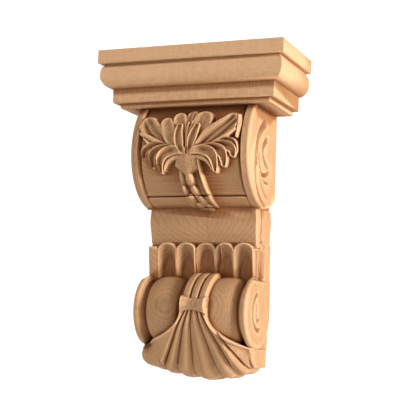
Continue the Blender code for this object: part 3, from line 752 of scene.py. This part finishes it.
class NodeTree:
    """A small helper that adds shader nodes and joins them."""

    def __init__(self, tree: bpy.types.NodeTree) -> None:
        """Keeps the tree that the nodes go in."""
        self.tree = tree

    def add(self, kind: str, inputs: dict | None = None, **settings) -> bpy.types.Node:
        """Adds one node.

        Args:
            kind: The node's type name.
            inputs: Values or output sockets, by the input's name or number.
            settings: Attributes of the node.

        Returns:
            The node.
        """
        node = self.tree.nodes.new(kind)
        for name, value in settings.items():
            setattr(node, name, value)
        for key, value in (inputs or {}).items():
            if isinstance(value, bpy.types.NodeSocket):
                self.tree.links.new(value, node.inputs[key])
            else:
                node.inputs[key].default_value = value
        return node

    def maths(self, operation: str, *values) -> bpy.types.NodeSocket:
        """Adds a Math node and gives its output."""
        return self.add("ShaderNodeMath", dict(enumerate(values)), operation=operation).outputs[0]

    def vector(self, operation: str, *values, out: int = 0) -> bpy.types.NodeSocket:
        """Adds a Vector Math node and gives one of its outputs."""
        return self.add("ShaderNodeVectorMath", dict(enumerate(values)), operation=operation).outputs[out]

    def span(self, value, low: float, high: float, to_low: float = 0.0, to_high: float = 1.0) -> bpy.types.NodeSocket:
        """Adds a smooth Map Range node and gives its output."""
        inputs = {0: value, 1: low, 2: high, 3: to_low, 4: to_high}
        return self.add("ShaderNodeMapRange", inputs, interpolation_type="SMOOTHSTEP").outputs[0]

    def noise(self, vector, scale: float, detail: float = 3.0, rough: float = 0.55) -> bpy.types.NodeSocket:
        """Adds a Noise node and gives its value."""
        inputs = {"Vector": vector, "Scale": scale, "Detail": detail, "Roughness": rough}
        return self.add("ShaderNodeTexNoise", inputs, normalize=True).outputs["Fac"]

    def mix(self, share, first, second) -> bpy.types.NodeSocket:
        """Adds a colour Mix node and gives its result."""
        node = self.add("ShaderNodeMix", data_type="RGBA")
        for socket, value in ((node.inputs[0], share), (node.inputs[6], first), (node.inputs[7], second)):
            if isinstance(value, bpy.types.NodeSocket):
                self.tree.links.new(value, socket)
            else:
                socket.default_value = value
        return node.outputs[2]


def node_group(name: str, takes: dict[str, Socket], gives: dict[str, Socket]) -> tuple[NodeTree, dict, dict]:
    """Starts a shader node group.

    Args:
        name: The group's name.
        takes: Its inputs.
        gives: Its outputs.

    Returns:
        Its helper, its input sockets by name, and its output sockets by name.
    """
    tree = bpy.data.node_groups.new(name, "ShaderNodeTree")
    for way, sockets in (("INPUT", takes), ("OUTPUT", gives)):
        for label, kind in sockets.items():
            tree.interface.new_socket(label, in_out=way, socket_type=kind.value)
    entry, ending = tree.nodes.new("NodeGroupInput"), tree.nodes.new("NodeGroupOutput")
    return NodeTree(tree), {n: entry.outputs[n] for n in takes}, {n: ending.inputs[n] for n in gives}


class Beech:
    """Unfinished beech: growth layers that the carving cuts through, upright fibres, painted shade in the hollows and
    pale edges that are partly rubbed and partly painted highlight.
    """

    def __init__(self, look: GrainLook) -> None:
        """Builds the finish's node groups."""
        self.look = look
        self.rings = self.ring_group()
        self.fibres = self.fibre_group()
        self.shade_and_wear = self.shade_and_wear_group()

    def ring_group(self) -> bpy.types.NodeTree:
        """Builds the growth layers: nearly flat sheets, tilted one way in each of the two staves and the top board."""
        takes = {n: Socket.VECTOR for n in ("Place", "Left tilt", "Right tilt", "Board tilt")}
        takes |= {n: Socket.VALUE for n in ("Glue line", "Board", "Spacing", "Stain top", "Stain foot")}
        kit, has, gives = node_group("Growth layers", takes, {n: Socket.VALUE for n in ("Early", "Late", "Seam", "Stain")})
        split = kit.add("ShaderNodeSeparateXYZ", {0: has["Place"]})
        side = kit.maths("GREATER_THAN", split.outputs[0], has["Glue line"])
        left = kit.vector("DOT_PRODUCT", has["Place"], has["Left tilt"], out=1)
        right = kit.vector("DOT_PRODUCT", has["Place"], has["Right tilt"], out=1)
        right = kit.maths("ADD", right, 0.8)
        layer = kit.maths("ADD", kit.maths("MULTIPLY", left, kit.maths("SUBTRACT", 1.0, side)), kit.maths("MULTIPLY", right, side))
        board = kit.maths("GREATER_THAN", split.outputs[2], has["Board"])
        upright = kit.vector("DOT_PRODUCT", has["Place"], has["Board tilt"], out=1)
        layer = kit.maths("ADD", kit.maths("MULTIPLY", layer, kit.maths("SUBTRACT", 1.0, board)), kit.maths("MULTIPLY", upright, board))
        slow = kit.noise(kit.vector("MULTIPLY", has["Place"], (1.0, 1.0, 0.35)), 0.018, 1.0)
        quick = kit.noise(kit.vector("MULTIPLY", has["Place"], (1.0, 1.0, 0.5)), 0.5, 2.0)
        layer = kit.maths("ADD", layer, kit.maths("MULTIPLY", slow, 8.0))
        layer = kit.maths("ADD", layer, kit.maths("MULTIPLY", quick, 0.22))
        phase = kit.maths("FRACT", kit.maths("DIVIDE", layer, has["Spacing"]))
        early = kit.span(phase, 0.0, 1.0)
        late = kit.maths("MULTIPLY", kit.span(phase, 0.55, 0.93), kit.span(phase, 0.94, 1.0, 1.0, 0.0))
        away = kit.maths("ABSOLUTE", kit.maths("SUBTRACT", split.outputs[0], has["Glue line"]))
        stain = kit.add("ShaderNodeMapRange", {0: split.outputs[2], 1: has["Stain top"], 2: has["Stain foot"]}).outputs[0]
        kit.tree.links.new(kit.maths("MULTIPLY", stain, board), gives["Stain"])
        kit.tree.links.new(early, gives["Early"])
        kit.tree.links.new(late, gives["Late"])
        kit.tree.links.new(kit.span(away, 0.1, 0.5, 1.0, 0.0), gives["Seam"])
        return kit.tree

    def fibre_group(self) -> bpy.types.NodeTree:
        """Builds the upright fibres, the small ray flecks and slow drifts of tone."""
        kit, has, gives = node_group(
            "Fibres", {"Place": Socket.VECTOR}, {"Streak": Socket.VALUE, "Fleck": Socket.VALUE, "Drift": Socket.VALUE}
        )
        long = kit.vector("MULTIPLY", has["Place"], (1.0, 1.0, 0.05))
        streak = kit.noise(long, 1.3, 4.0, 0.65)
        fleck = kit.noise(kit.vector("MULTIPLY", has["Place"], (1.6, 1.6, 0.35)), 1.7, 2.0, 0.6)
        kit.tree.links.new(kit.span(streak, 0.3, 0.7), gives["Streak"])
        kit.tree.links.new(kit.span(fleck, 0.62, 0.72), gives["Fleck"])
        kit.tree.links.new(kit.span(kit.noise(has["Place"], 0.03, 2.0), 0.35, 0.65), gives["Drift"])
        return kit.tree

    def shade_and_wear_group(self) -> bpy.types.NodeTree:
        """Builds the painted shade in the carving's hollows and the pale on its edges, partly rubbed wood and partly
        painted highlight, from the mesh's own attributes.
        """
        kit, has, gives = node_group(
            "Hollows and edges",
            {"Hollow": Socket.VALUE, "Shelter": Socket.VALUE, "Cove": Socket.VALUE, "Place": Socket.VECTOR},
            {"Painted shade": Socket.VALUE, "Rubbed and highlit": Socket.VALUE},
        )
        uneven = kit.noise(has["Place"], 0.25, 3.0)
        # Painted shade: fine creases, broader hollows and wide coves such as the band under the ovolo are darkened to
        # stand in for shade and warm bounced light.
        fine = kit.maths("MULTIPLY", kit.span(has["Hollow"], 0.03, 0.55), 0.85)
        broad = kit.maths("MULTIPLY", kit.span(has["Shelter"], 0.2, 2.4), 0.85)
        wide = kit.maths("MULTIPLY", kit.span(has["Cove"], 0.1, 2.8), 0.66)
        light = (kit.maths("SUBTRACT", 1.0, part) for part in (fine, broad, wide))
        light = kit.maths("MULTIPLY", kit.maths("MULTIPLY", next(light), next(light)), next(light))
        dark = kit.maths("SUBTRACT", 1.0, light)
        # Pale on raised edges: partly rubbed wood, partly painted highlight.
        pale = kit.span(has["Hollow"], -0.04, -0.4)
        kit.tree.links.new(kit.maths("MULTIPLY", dark, kit.span(uneven, 0.1, 0.6, 0.88, 1.0)), gives["Painted shade"])
        kit.tree.links.new(kit.maths("MULTIPLY", pale, kit.span(uneven, 0.3, 0.7, 0.75, 1.0)), gives["Rubbed and highlit"])
        return kit.tree

    def placed(self, kit: NodeTree, tree: bpy.types.NodeTree, inputs: dict) -> bpy.types.Node:
        """Puts a group in the material with its own values."""
        node = kit.add("ShaderNodeGroup", node_tree=tree)
        for name, value in inputs.items():
            if isinstance(value, bpy.types.NodeSocket):
                kit.tree.links.new(value, node.inputs[name])
            else:
                node.inputs[name].default_value = value
        return node

    def material(self) -> bpy.types.Material:
        """Builds the finish.

        Returns:
            The material, which reads Object coordinates and the mesh's "hollow", "shelter" and "cove" attributes; these
            set its painted shade in hollows and its pale edges, partly rubbed and partly painted highlight.
        """
        look = self.look
        material = bpy.data.materials.new("beech")
        material.use_nodes = True
        kit = NodeTree(material.node_tree)
        shader = material.node_tree.nodes["Principled BSDF"]
        shader.inputs["Metallic"].default_value = 0.0
        shader.inputs["IOR"].default_value = 1.45
        shader.inputs["Specular IOR Level"].default_value = 0.35
        place = kit.vector("SCALE", kit.add("ShaderNodeTexCoord").outputs["Object"])
        place.node.inputs["Scale"].default_value = 1.0 / MM
        # The hollow, shelter and cove measures set the painted shade and the painted highlight.
        depths = {n.title(): kit.add("ShaderNodeAttribute", attribute_name=n).outputs["Fac"] for n in ("hollow", "shelter", "cove")}
        tilts = {"Left tilt": look.left_tilt, "Right tilt": look.right_tilt, "Board tilt": look.board_tilt}
        sizes = {"Glue line": look.glue_line, "Spacing": look.ring_spacing, "Board": look.board}
        sizes |= {"Stain top": look.stain_top, "Stain foot": look.stain_foot}
        rings = self.placed(kit, self.rings, {"Place": place} | sizes | tilts)
        fibres = self.placed(kit, self.fibres, {"Place": place})
        shade_and_wear = self.placed(kit, self.shade_and_wear, {"Place": place} | depths)
        early, late, seam = (rings.outputs[n] for n in ("Early", "Late", "Seam"))
        streak, fleck, drift = (fibres.outputs[n] for n in ("Streak", "Fleck", "Drift"))
        colour = kit.mix(kit.maths("MULTIPLY", early, 0.3), look.pale, look.warm)
        colour = kit.mix(kit.maths("MULTIPLY", drift, 0.45), colour, look.warm)
        colour = kit.mix(kit.maths("MULTIPLY", late, 0.26), colour, look.late)
        colour = kit.mix(kit.maths("MULTIPLY", streak, 0.32), colour, look.late)
        colour = kit.mix(kit.maths("MULTIPLY", fleck, 0.3), colour, look.late)
        stained = kit.maths("MULTIPLY", rings.outputs["Stain"], kit.maths("MULTIPLY_ADD", streak, 0.5, 0.4))
        colour = kit.mix(stained, colour, look.late)
        colour = kit.mix(kit.maths("MULTIPLY", seam, 0.3), colour, look.seam_and_shade)
        # Pale edges: partly rubbed wood, partly painted highlight.
        colour = kit.mix(kit.maths("MULTIPLY", shade_and_wear.outputs["Rubbed and highlit"], 0.7), colour, look.worn_and_highlight)
        # Painted shade in the carving's hollows.
        colour = kit.mix(kit.maths("MULTIPLY", shade_and_wear.outputs["Painted shade"], 0.85), colour, look.seam_and_shade)
        kit.tree.links.new(colour, shader.inputs["Base Color"])
        rough = kit.maths("ADD", look.roughness, kit.maths("MULTIPLY", streak, 0.12))
        kit.tree.links.new(rough, shader.inputs["Roughness"])
        tall = kit.maths("ADD", kit.maths("MULTIPLY", streak, 0.5), kit.maths("MULTIPLY", late, -0.35))
        bump = kit.add("ShaderNodeBump", {"Strength": 0.35, "Distance": 0.0002, "Height": tall})
        kit.tree.links.new(bump.outputs["Normal"], shader.inputs["Normal"])
        return material


@dataclass
class Capital:
    """The whole carved block, from its courses to its dressed mesh."""

    step: float = 0.4
    corner: float = 1.0
    soft_corner: float = 1.4
    triangles: int = 190000
    origin_drop: float = 125.0
    course: Course = field(default_factory=Course)
    abacus: Abacus = field(default_factory=Abacus)
    scroll: Scroll = field(default_factory=Scroll)
    neck: Neck = field(default_factory=Neck)
    flutes: Flutes = field(default_factory=Flutes)
    roll: Bolster = field(default_factory=Bolster)
    tie: Tie = field(default_factory=Tie)
    shell: Shell = field(default_factory=Shell)

    def front(self, across: Array, drop: Array, half: Array) -> Array:
        """Gives how far the carved front stands off the wall.

        Args:
            across: Place across.
            drop: Place down.
            half: Half width of the block there.

        Returns:
            Depth from the wall at each place.
        """
        course, roll = self.course, self.roll
        lower = np.maximum(self.flutes.front(across, drop, course), roll.drape(roll.radius(across), drop, course))
        for depth, mask in (
            self.tie.strap(across, drop, roll, course),
            self.shell.front(across, drop, roll, self.tie, course),
            self.tie.knot(across, drop, roll, course),
        ):
            base = np.maximum(lower, 0.35 * roll.axis)
            lower = np.where(mask > 0.0, over(base, np.maximum(depth, base - 2.0), mask), lower)
        neck = self.neck.front(drop, course)
        behind = np.where(drop < course.flutes + 5.0, neck, 0.35 * roll.axis)
        upper = self.scroll.front(across, drop, course)
        upper = np.where(drop > self.scroll.centre(course), np.maximum(upper, neck), upper)
        depth = np.where(drop < course.scroll, upper, np.maximum(behind, lower))
        tail = self.scroll.tail(across, drop, course)
        depth = np.where((drop >= course.scroll) & (tail > neck), tail, depth)
        corner = self.corner + self.soft_corner * np.where(drop < course.scroll, 1.0, ramp(drop, course.flutes, course.flutes + 3.0))
        near = np.clip(corner - (half - np.abs(across)), 0.0, corner)
        return depth - (corner - np.sqrt(np.clip(corner**2 - near**2, 0.0, None)))

    def half(self, drop: Array) -> Array:
        """Gives the block's half width at its front edge."""
        course = self.course
        neck = self.neck.half + 0.7 * ridge(drop - course.scroll - 9.4, 6.0)
        found = np.where(drop < course.scroll, self.scroll.half, np.where(drop < course.neck, neck, self.flutes.half))
        found = found + (self.roll.half - self.flutes.half) * ramp(drop, course.flutes + 1.6, course.flutes + 4.0)
        return found - (self.roll.half - self.shell.half) * ramp(drop, course.roll - 0.8, course.roll + 0.6)

    def side(self, depth: Array, drop: Array, edge: Array) -> Array:
        """Gives how far the side stands out from its front edge's plane.

        Args:
            depth: Place forward from the wall.
            drop: Place down.
            edge: Depth of the front edge there.

        Returns:
            The relief at each place.
        """
        course = self.course
        scroll = self.scroll.side(depth, drop, course, self.neck.half)
        found = np.where(drop < course.scroll, scroll, self.neck.side(depth, drop, course))
        found = np.where(drop < course.neck, found, self.flutes.side(depth, drop, course))
        found = np.where(drop < course.flutes + 4.0, found, self.roll.side(depth, drop, course))
        found = np.where(drop < course.roll, found, 0.0)
        return found * ramp(edge - depth, 0.6, 2.2)

    def columns(self) -> tuple[Array, Array, Array]:
        """Lays out one ring's points.

        Returns:
            Each point's face, its place across the front from -1 to 1, and its share forward from the wall.
        """
        across = round(2 * self.scroll.half / self.step)
        deep = round(0.8 * self.scroll.depth / self.step)
        face, share = [], []
        for which, count in ((Face.FRONT, across), (Face.RIGHT, deep), (Face.BACK, across // 4), (Face.LEFT, deep)):
            share += list(np.arange(count) / count)
            face += [which.value] * count
        face, share = np.array(face + [0]), np.array(share + [0.0])
        faces = [face == Face.FRONT.value, face == Face.RIGHT.value, face == Face.BACK.value]
        return face, np.select(faces, [2 * share - 1, 1.0, 1 - 2 * share], -1.0), np.select(faces, [1.0, 1 - share, 0.0], share)

    def moulding(self, front_u: Array, forward: Array) -> Array:
        """Gives the abacus's rings, from one folded flat on the top face's back edge down to the soffit."""
        rings = []
        for k, (drop, inset) in enumerate([(0.0, self.abacus.chamfer)] + self.abacus.rows(self.course, 0.6)):
            half, depth = self.abacus.width / 2 - inset, (self.abacus.depth - inset) * (k > 0)
            rings.append(np.stack([front_u * half, -forward * depth, np.full(front_u.shape, -drop)], axis=1))
        return np.array(rings)

    def body(self, face: Array, front_u: Array, forward: Array) -> Array:
        """Gives the carved body's rings, from the soffit down to one folded flat on the wall face's lower edge.

        Args:
            face: Each point's face.
            front_u: Its place across.
            forward: Its share forward from the wall.

        Returns:
            Positions in millimetres, rings by points by 3.
        """
        course = self.course
        drops = np.arange(course.soffit, course.shell, self.step)
        ends = [course.scroll - 0.05, course.scroll + 0.05, course.neck - 0.05, course.neck + 0.05, course.shell]
        drops = np.unique(np.concatenate([drops, ends]))[:, None]
        half = self.half(drops)
        x = front_u * half
        lift = np.clip((drops - course.roll - 1.0) / (course.shell - course.roll - 1.0), 0.0, 1.0)
        drop = drops - lift * (course.shell - self.shell.bottom(x, course))
        right_drop = drops - lift * (course.shell - self.shell.bottom(half, course))
        left_drop = drops - lift * (course.shell - self.shell.bottom(-half, course))
        right_edge, left_edge = self.front(half, right_drop, half), self.front(-half, left_drop, half)
        edge, side_drop = np.where(front_u > 0, right_edge, left_edge), np.where(front_u > 0, right_drop, left_drop)
        depth = np.where(face == Face.FRONT.value, self.front(x, drop, half), forward * edge)
        depth = np.where(face == Face.BACK.value, 0.0, depth)
        on_side = (face == Face.RIGHT.value) | (face == Face.LEFT.value)
        side = np.where(on_side, self.side(forward * edge, side_drop, edge), 0.0)
        back = half + self.side(0.0 * edge, side_drop, edge)
        x = np.where(face == Face.BACK.value, front_u * back, x + np.sign(x) * side)
        points = np.stack([x, -depth, -drop], axis=2)
        last = points[-1:] * np.array([1.0, 0.0, 1.0])
        last[0, :, 0] = front_u * back[-1]
        return np.concatenate([points, last])

    def smeared(self, ring: Array, reach: int) -> Array:
        """Averages each point with those up to this many steps around it, twice over."""
        for axis, edge in ((0, "edge"), (1, "wrap")) * 2:
            pad = [(0, 0), (0, 0), (0, 0)]
            pad[axis] = (reach + 1, reach)
            run = np.cumsum(np.pad(ring, pad, mode=edge), axis=axis)
            count = ring.shape[axis]
            ends = np.arange(count)
            ring = (run.take(ends + 2 * reach + 1, axis=axis) - run.take(ends, axis=axis)) / (2 * reach + 1)
        return ring

    def hollows(self, points: Array, reach: int) -> Array:
        """Measures how far each point lies below the surface around it.

        Args:
            points: Positions, rings by points by 3, with the first and last of each ring in one place.
            reach: How many steps of the grid the surface around it spans each way.

        Returns:
            Millimetres, above zero in hollows and below zero on edges.
        """
        ring = points[:, :-1]
        along = np.roll(ring, -1, axis=1) - np.roll(ring, 1, axis=1)
        down = np.gradient(ring, axis=0)
        normal = self.smeared(np.cross(down, along), max(1, reach // 4))
        normal /= np.maximum(np.linalg.norm(normal, axis=2, keepdims=True), 1e-9)
        found = ((self.smeared(ring, reach) - ring) * normal).sum(axis=2)
        found[:3] = 0.0
        found[-3:] = 0.0
        return np.concatenate([found, found[:, :1]], axis=1)

    def mesh(self) -> bpy.types.Mesh:
        """Wraps a grid round the block, welds its seam and thins it out.

        Returns:
            The closed mesh, in metres.
        """
        face, front_u, forward = self.columns()
        points = np.concatenate([self.moulding(front_u, forward), self.body(face, front_u, forward)])
        carved = points[:, :, 1] < -1.0
        # How far each point lies below its surroundings at three reaches; the finish turns these into painted shade and
        # painted highlight.
        looks = {n: self.hollows(points, reach) * carved for n, reach in (("hollow", 2), ("shelter", 9), ("cove", 28))}
        points[:, :, 2] += self.origin_drop
        rings, columns = points.shape[:2]
        bm = bmesh.new()
        bmesh.ops.create_grid(bm, x_segments=columns - 1, y_segments=rings - 1, size=1.0)
        dense = bpy.data.meshes.new("capital_dense")
        bm.to_mesh(dense)
        bm.free()
        flat = np.zeros(len(dense.vertices) * 3)
        dense.vertices.foreach_get("co", flat)
        flat = flat.reshape(-1, 3)
        column = np.round((flat[:, 0] + 1) / 2 * (columns - 1)).astype(int)
        ring = np.round((flat[:, 1] + 1) / 2 * (rings - 1)).astype(int)
        dense.vertices.foreach_set("co", (points[ring, column] * MM).ravel())
        for name, value in looks.items():
            dense.attributes.new(name, "FLOAT", "POINT").data.foreach_set("value", value[ring, column])
        bm = bmesh.new()
        bm.from_mesh(dense)
        bmesh.ops.remove_doubles(bm, verts=bm.verts, dist=2e-6)
        bmesh.ops.recalc_face_normals(bm, faces=bm.faces)
        bm.to_mesh(dense)
        bm.free()
        return self.thinned(dense)

    def thinned(self, dense: bpy.types.Mesh) -> bpy.types.Mesh:
        """Thins the mesh to its number of triangles and puts the wall face back on its plane."""
        helper = bpy.data.objects.new("capital_dense", dense)
        bpy.context.scene.collection.objects.link(helper)
        dense.calc_loop_triangles()
        thin = helper.modifiers.new("Thin", "DECIMATE")
        thin.ratio = min(1.0, self.triangles / len(dense.loop_triangles))
        graph = bpy.context.evaluated_depsgraph_get()
        mesh = bpy.data.meshes.new_from_object(helper.evaluated_get(graph))
        bpy.data.objects.remove(helper)
        places = np.zeros(len(mesh.vertices) * 3)
        mesh.vertices.foreach_get("co", places)
        places = places.reshape(-1, 3)
        places[places[:, 1] > -0.00006, 1] = 0.0
        mesh.vertices.foreach_set("co", places.ravel())
        return mesh

    def build(self, finish: Beech) -> bpy.types.Object:
        """Builds and dresses the block.

        Args:
            finish: Its finish.

        Returns:
            The piece, which stands for the CAD node.
        """
        mesh = self.mesh()
        mesh.name = "capital_carving"
        mesh.materials.append(finish.material())
        mesh.shade_smooth()
        mesh.set_sharp_from_angle(angle=math.radians(50.0))
        piece = bpy.data.objects.new("capital_carving", mesh)
        bpy.context.scene.collection.objects.link(piece)
        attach(piece, "root")
        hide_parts("carved_capital")
        return piece


@dataclass(frozen=True)
class Lamp:
    """One soft studio light, aimed at the block's middle."""

    name: str
    place: tuple[float, float, float]
    size: float
    watts: float
    colour: tuple[float, float, float] = (1.0, 1.0, 1.0)
    aim: tuple[float, float, float] = (0.0, -0.03, 0.0)

    def hang(self) -> bpy.types.Object:
        """Adds the light to the scene."""
        light = bpy.data.lights.new(self.name, "AREA")
        light.energy, light.size, light.color = self.watts, self.size, self.colour
        lamp = bpy.data.objects.new(self.name, light)
        lamp.location = self.place
        lamp.rotation_euler = (Vector(self.aim) - Vector(self.place)).to_track_quat("-Z", "Y").to_euler()
        bpy.context.scene.collection.objects.link(lamp)
        return lamp


@dataclass(frozen=True)
class Viewpoint:
    """The photograph's viewpoint."""

    lens: float = 95.6
    yaw: float = 22.3
    pitch: float = 6.7
    roll: float = 2.0
    place: tuple[float, float, float] = (0.3063, -0.7839, -0.0833)

    def stand(self) -> bpy.types.Object:
        """Adds the camera and makes it the scene's."""
        yaw, pitch, roll = (math.radians(v) for v in (self.yaw, self.pitch, self.roll))
        ahead = Vector((-math.sin(yaw) * math.cos(pitch), math.cos(yaw) * math.cos(pitch), math.sin(pitch)))
        level = Vector((math.cos(yaw), math.sin(yaw), 0.0))
        up = level.cross(ahead)
        right = level * math.cos(roll) + up * math.sin(roll)
        top = up * math.cos(roll) - level * math.sin(roll)
        lens = bpy.data.cameras.new("Viewpoint")
        lens.sensor_width, lens.lens = 36.0, self.lens
        camera = bpy.data.objects.new("Viewpoint", lens)
        camera.matrix_world = Matrix.Translation(self.place) @ Matrix((right, top, -ahead)).transposed().to_4x4()
        bpy.context.scene.collection.objects.link(camera)
        bpy.context.scene.camera = camera
        return camera


@dataclass(frozen=True)
class Studio:
    """The pale floor, the pale surroundings, the lights and the camera."""

    floor_drop: float = -0.45
    floor_reach: float = 1.6
    floor_tone: float = 0.85
    fill: Colour = (1.0, 0.62, 0.32, 1.0)
    fill_strength: float = 0.13
    viewpoint: Viewpoint = field(default_factory=Viewpoint)
    lamps: tuple[Lamp, ...] = (
        Lamp("Key", (1.6, -0.3, 0.16), 0.4, 34.5, (1.0, 0.92, 0.86)),
        Lamp("Front", (-0.5, -1.0, 1.3), 0.5, 9.0),
        Lamp("Left", (-1.3, -1.6, -0.1), 0.7, 8.5),
        Lamp("Back", (-0.7, 1.9, 0.7), 1.0, 26.0),
    )

    def floor(self) -> bpy.types.Object:
        """Lays the floor well below the block, which hangs on a wall."""
        bm = bmesh.new()
        bmesh.ops.create_grid(bm, x_segments=1, y_segments=1, size=self.floor_reach)
        bmesh.ops.translate(bm, verts=bm.verts, vec=(0.0, 0.0, self.floor_drop))
        mesh = bpy.data.meshes.new("studio_floor")
        bm.to_mesh(mesh)
        bm.free()
        paper = bpy.data.materials.new("studio_paper")
        paper.use_nodes = True
        shader = paper.node_tree.nodes["Principled BSDF"]
        shader.inputs["Base Color"].default_value = (self.floor_tone,) * 3 + (1.0,)
        shader.inputs["Roughness"].default_value = 0.9
        mesh.materials.append(paper)
        ground = bpy.data.objects.new("studio_floor", mesh)
        bpy.context.scene.collection.objects.link(ground)
        return ground

    def surroundings(self) -> bpy.types.World:
        """Makes the surroundings white to the camera and a dimmer, warm fill for the block."""
        world = bpy.data.worlds.new("Surroundings")
        world.use_nodes = True
        kit = NodeTree(world.node_tree)
        back = world.node_tree.nodes["Background"]
        seen = kit.add("ShaderNodeLightPath").outputs["Is Camera Ray"]
        strength = kit.add("ShaderNodeMapRange", {0: seen, 3: self.fill_strength, 4: 1.0}).outputs[0]
        kit.tree.links.new(strength, back.inputs["Strength"])
        kit.tree.links.new(kit.mix(seen, self.fill, (1.0, 1.0, 1.0, 1.0)), back.inputs["Color"])
        bpy.context.scene.world = world
        return world

    def set_up(self) -> None:
        """Builds the whole studio."""
        self.floor()
        self.surroundings()
        for lamp in self.lamps:
            lamp.hang()
        self.viewpoint.stand()
        bpy.context.scene.view_settings.view_transform = "Standard"
        bpy.context.scene.view_settings.look = "Medium High Contrast"


def main() -> None:
    """Builds the block and its studio, and reports the piece."""
    logging.basicConfig(level=logging.INFO, format="%(name)s: %(message)s")
    piece = Capital().build(Beech(GrainLook()))
    log.info("%s: %d faces", piece.name, len(piece.data.polygons))
    Studio().set_up()


if __name__ == "__main__":
    main()
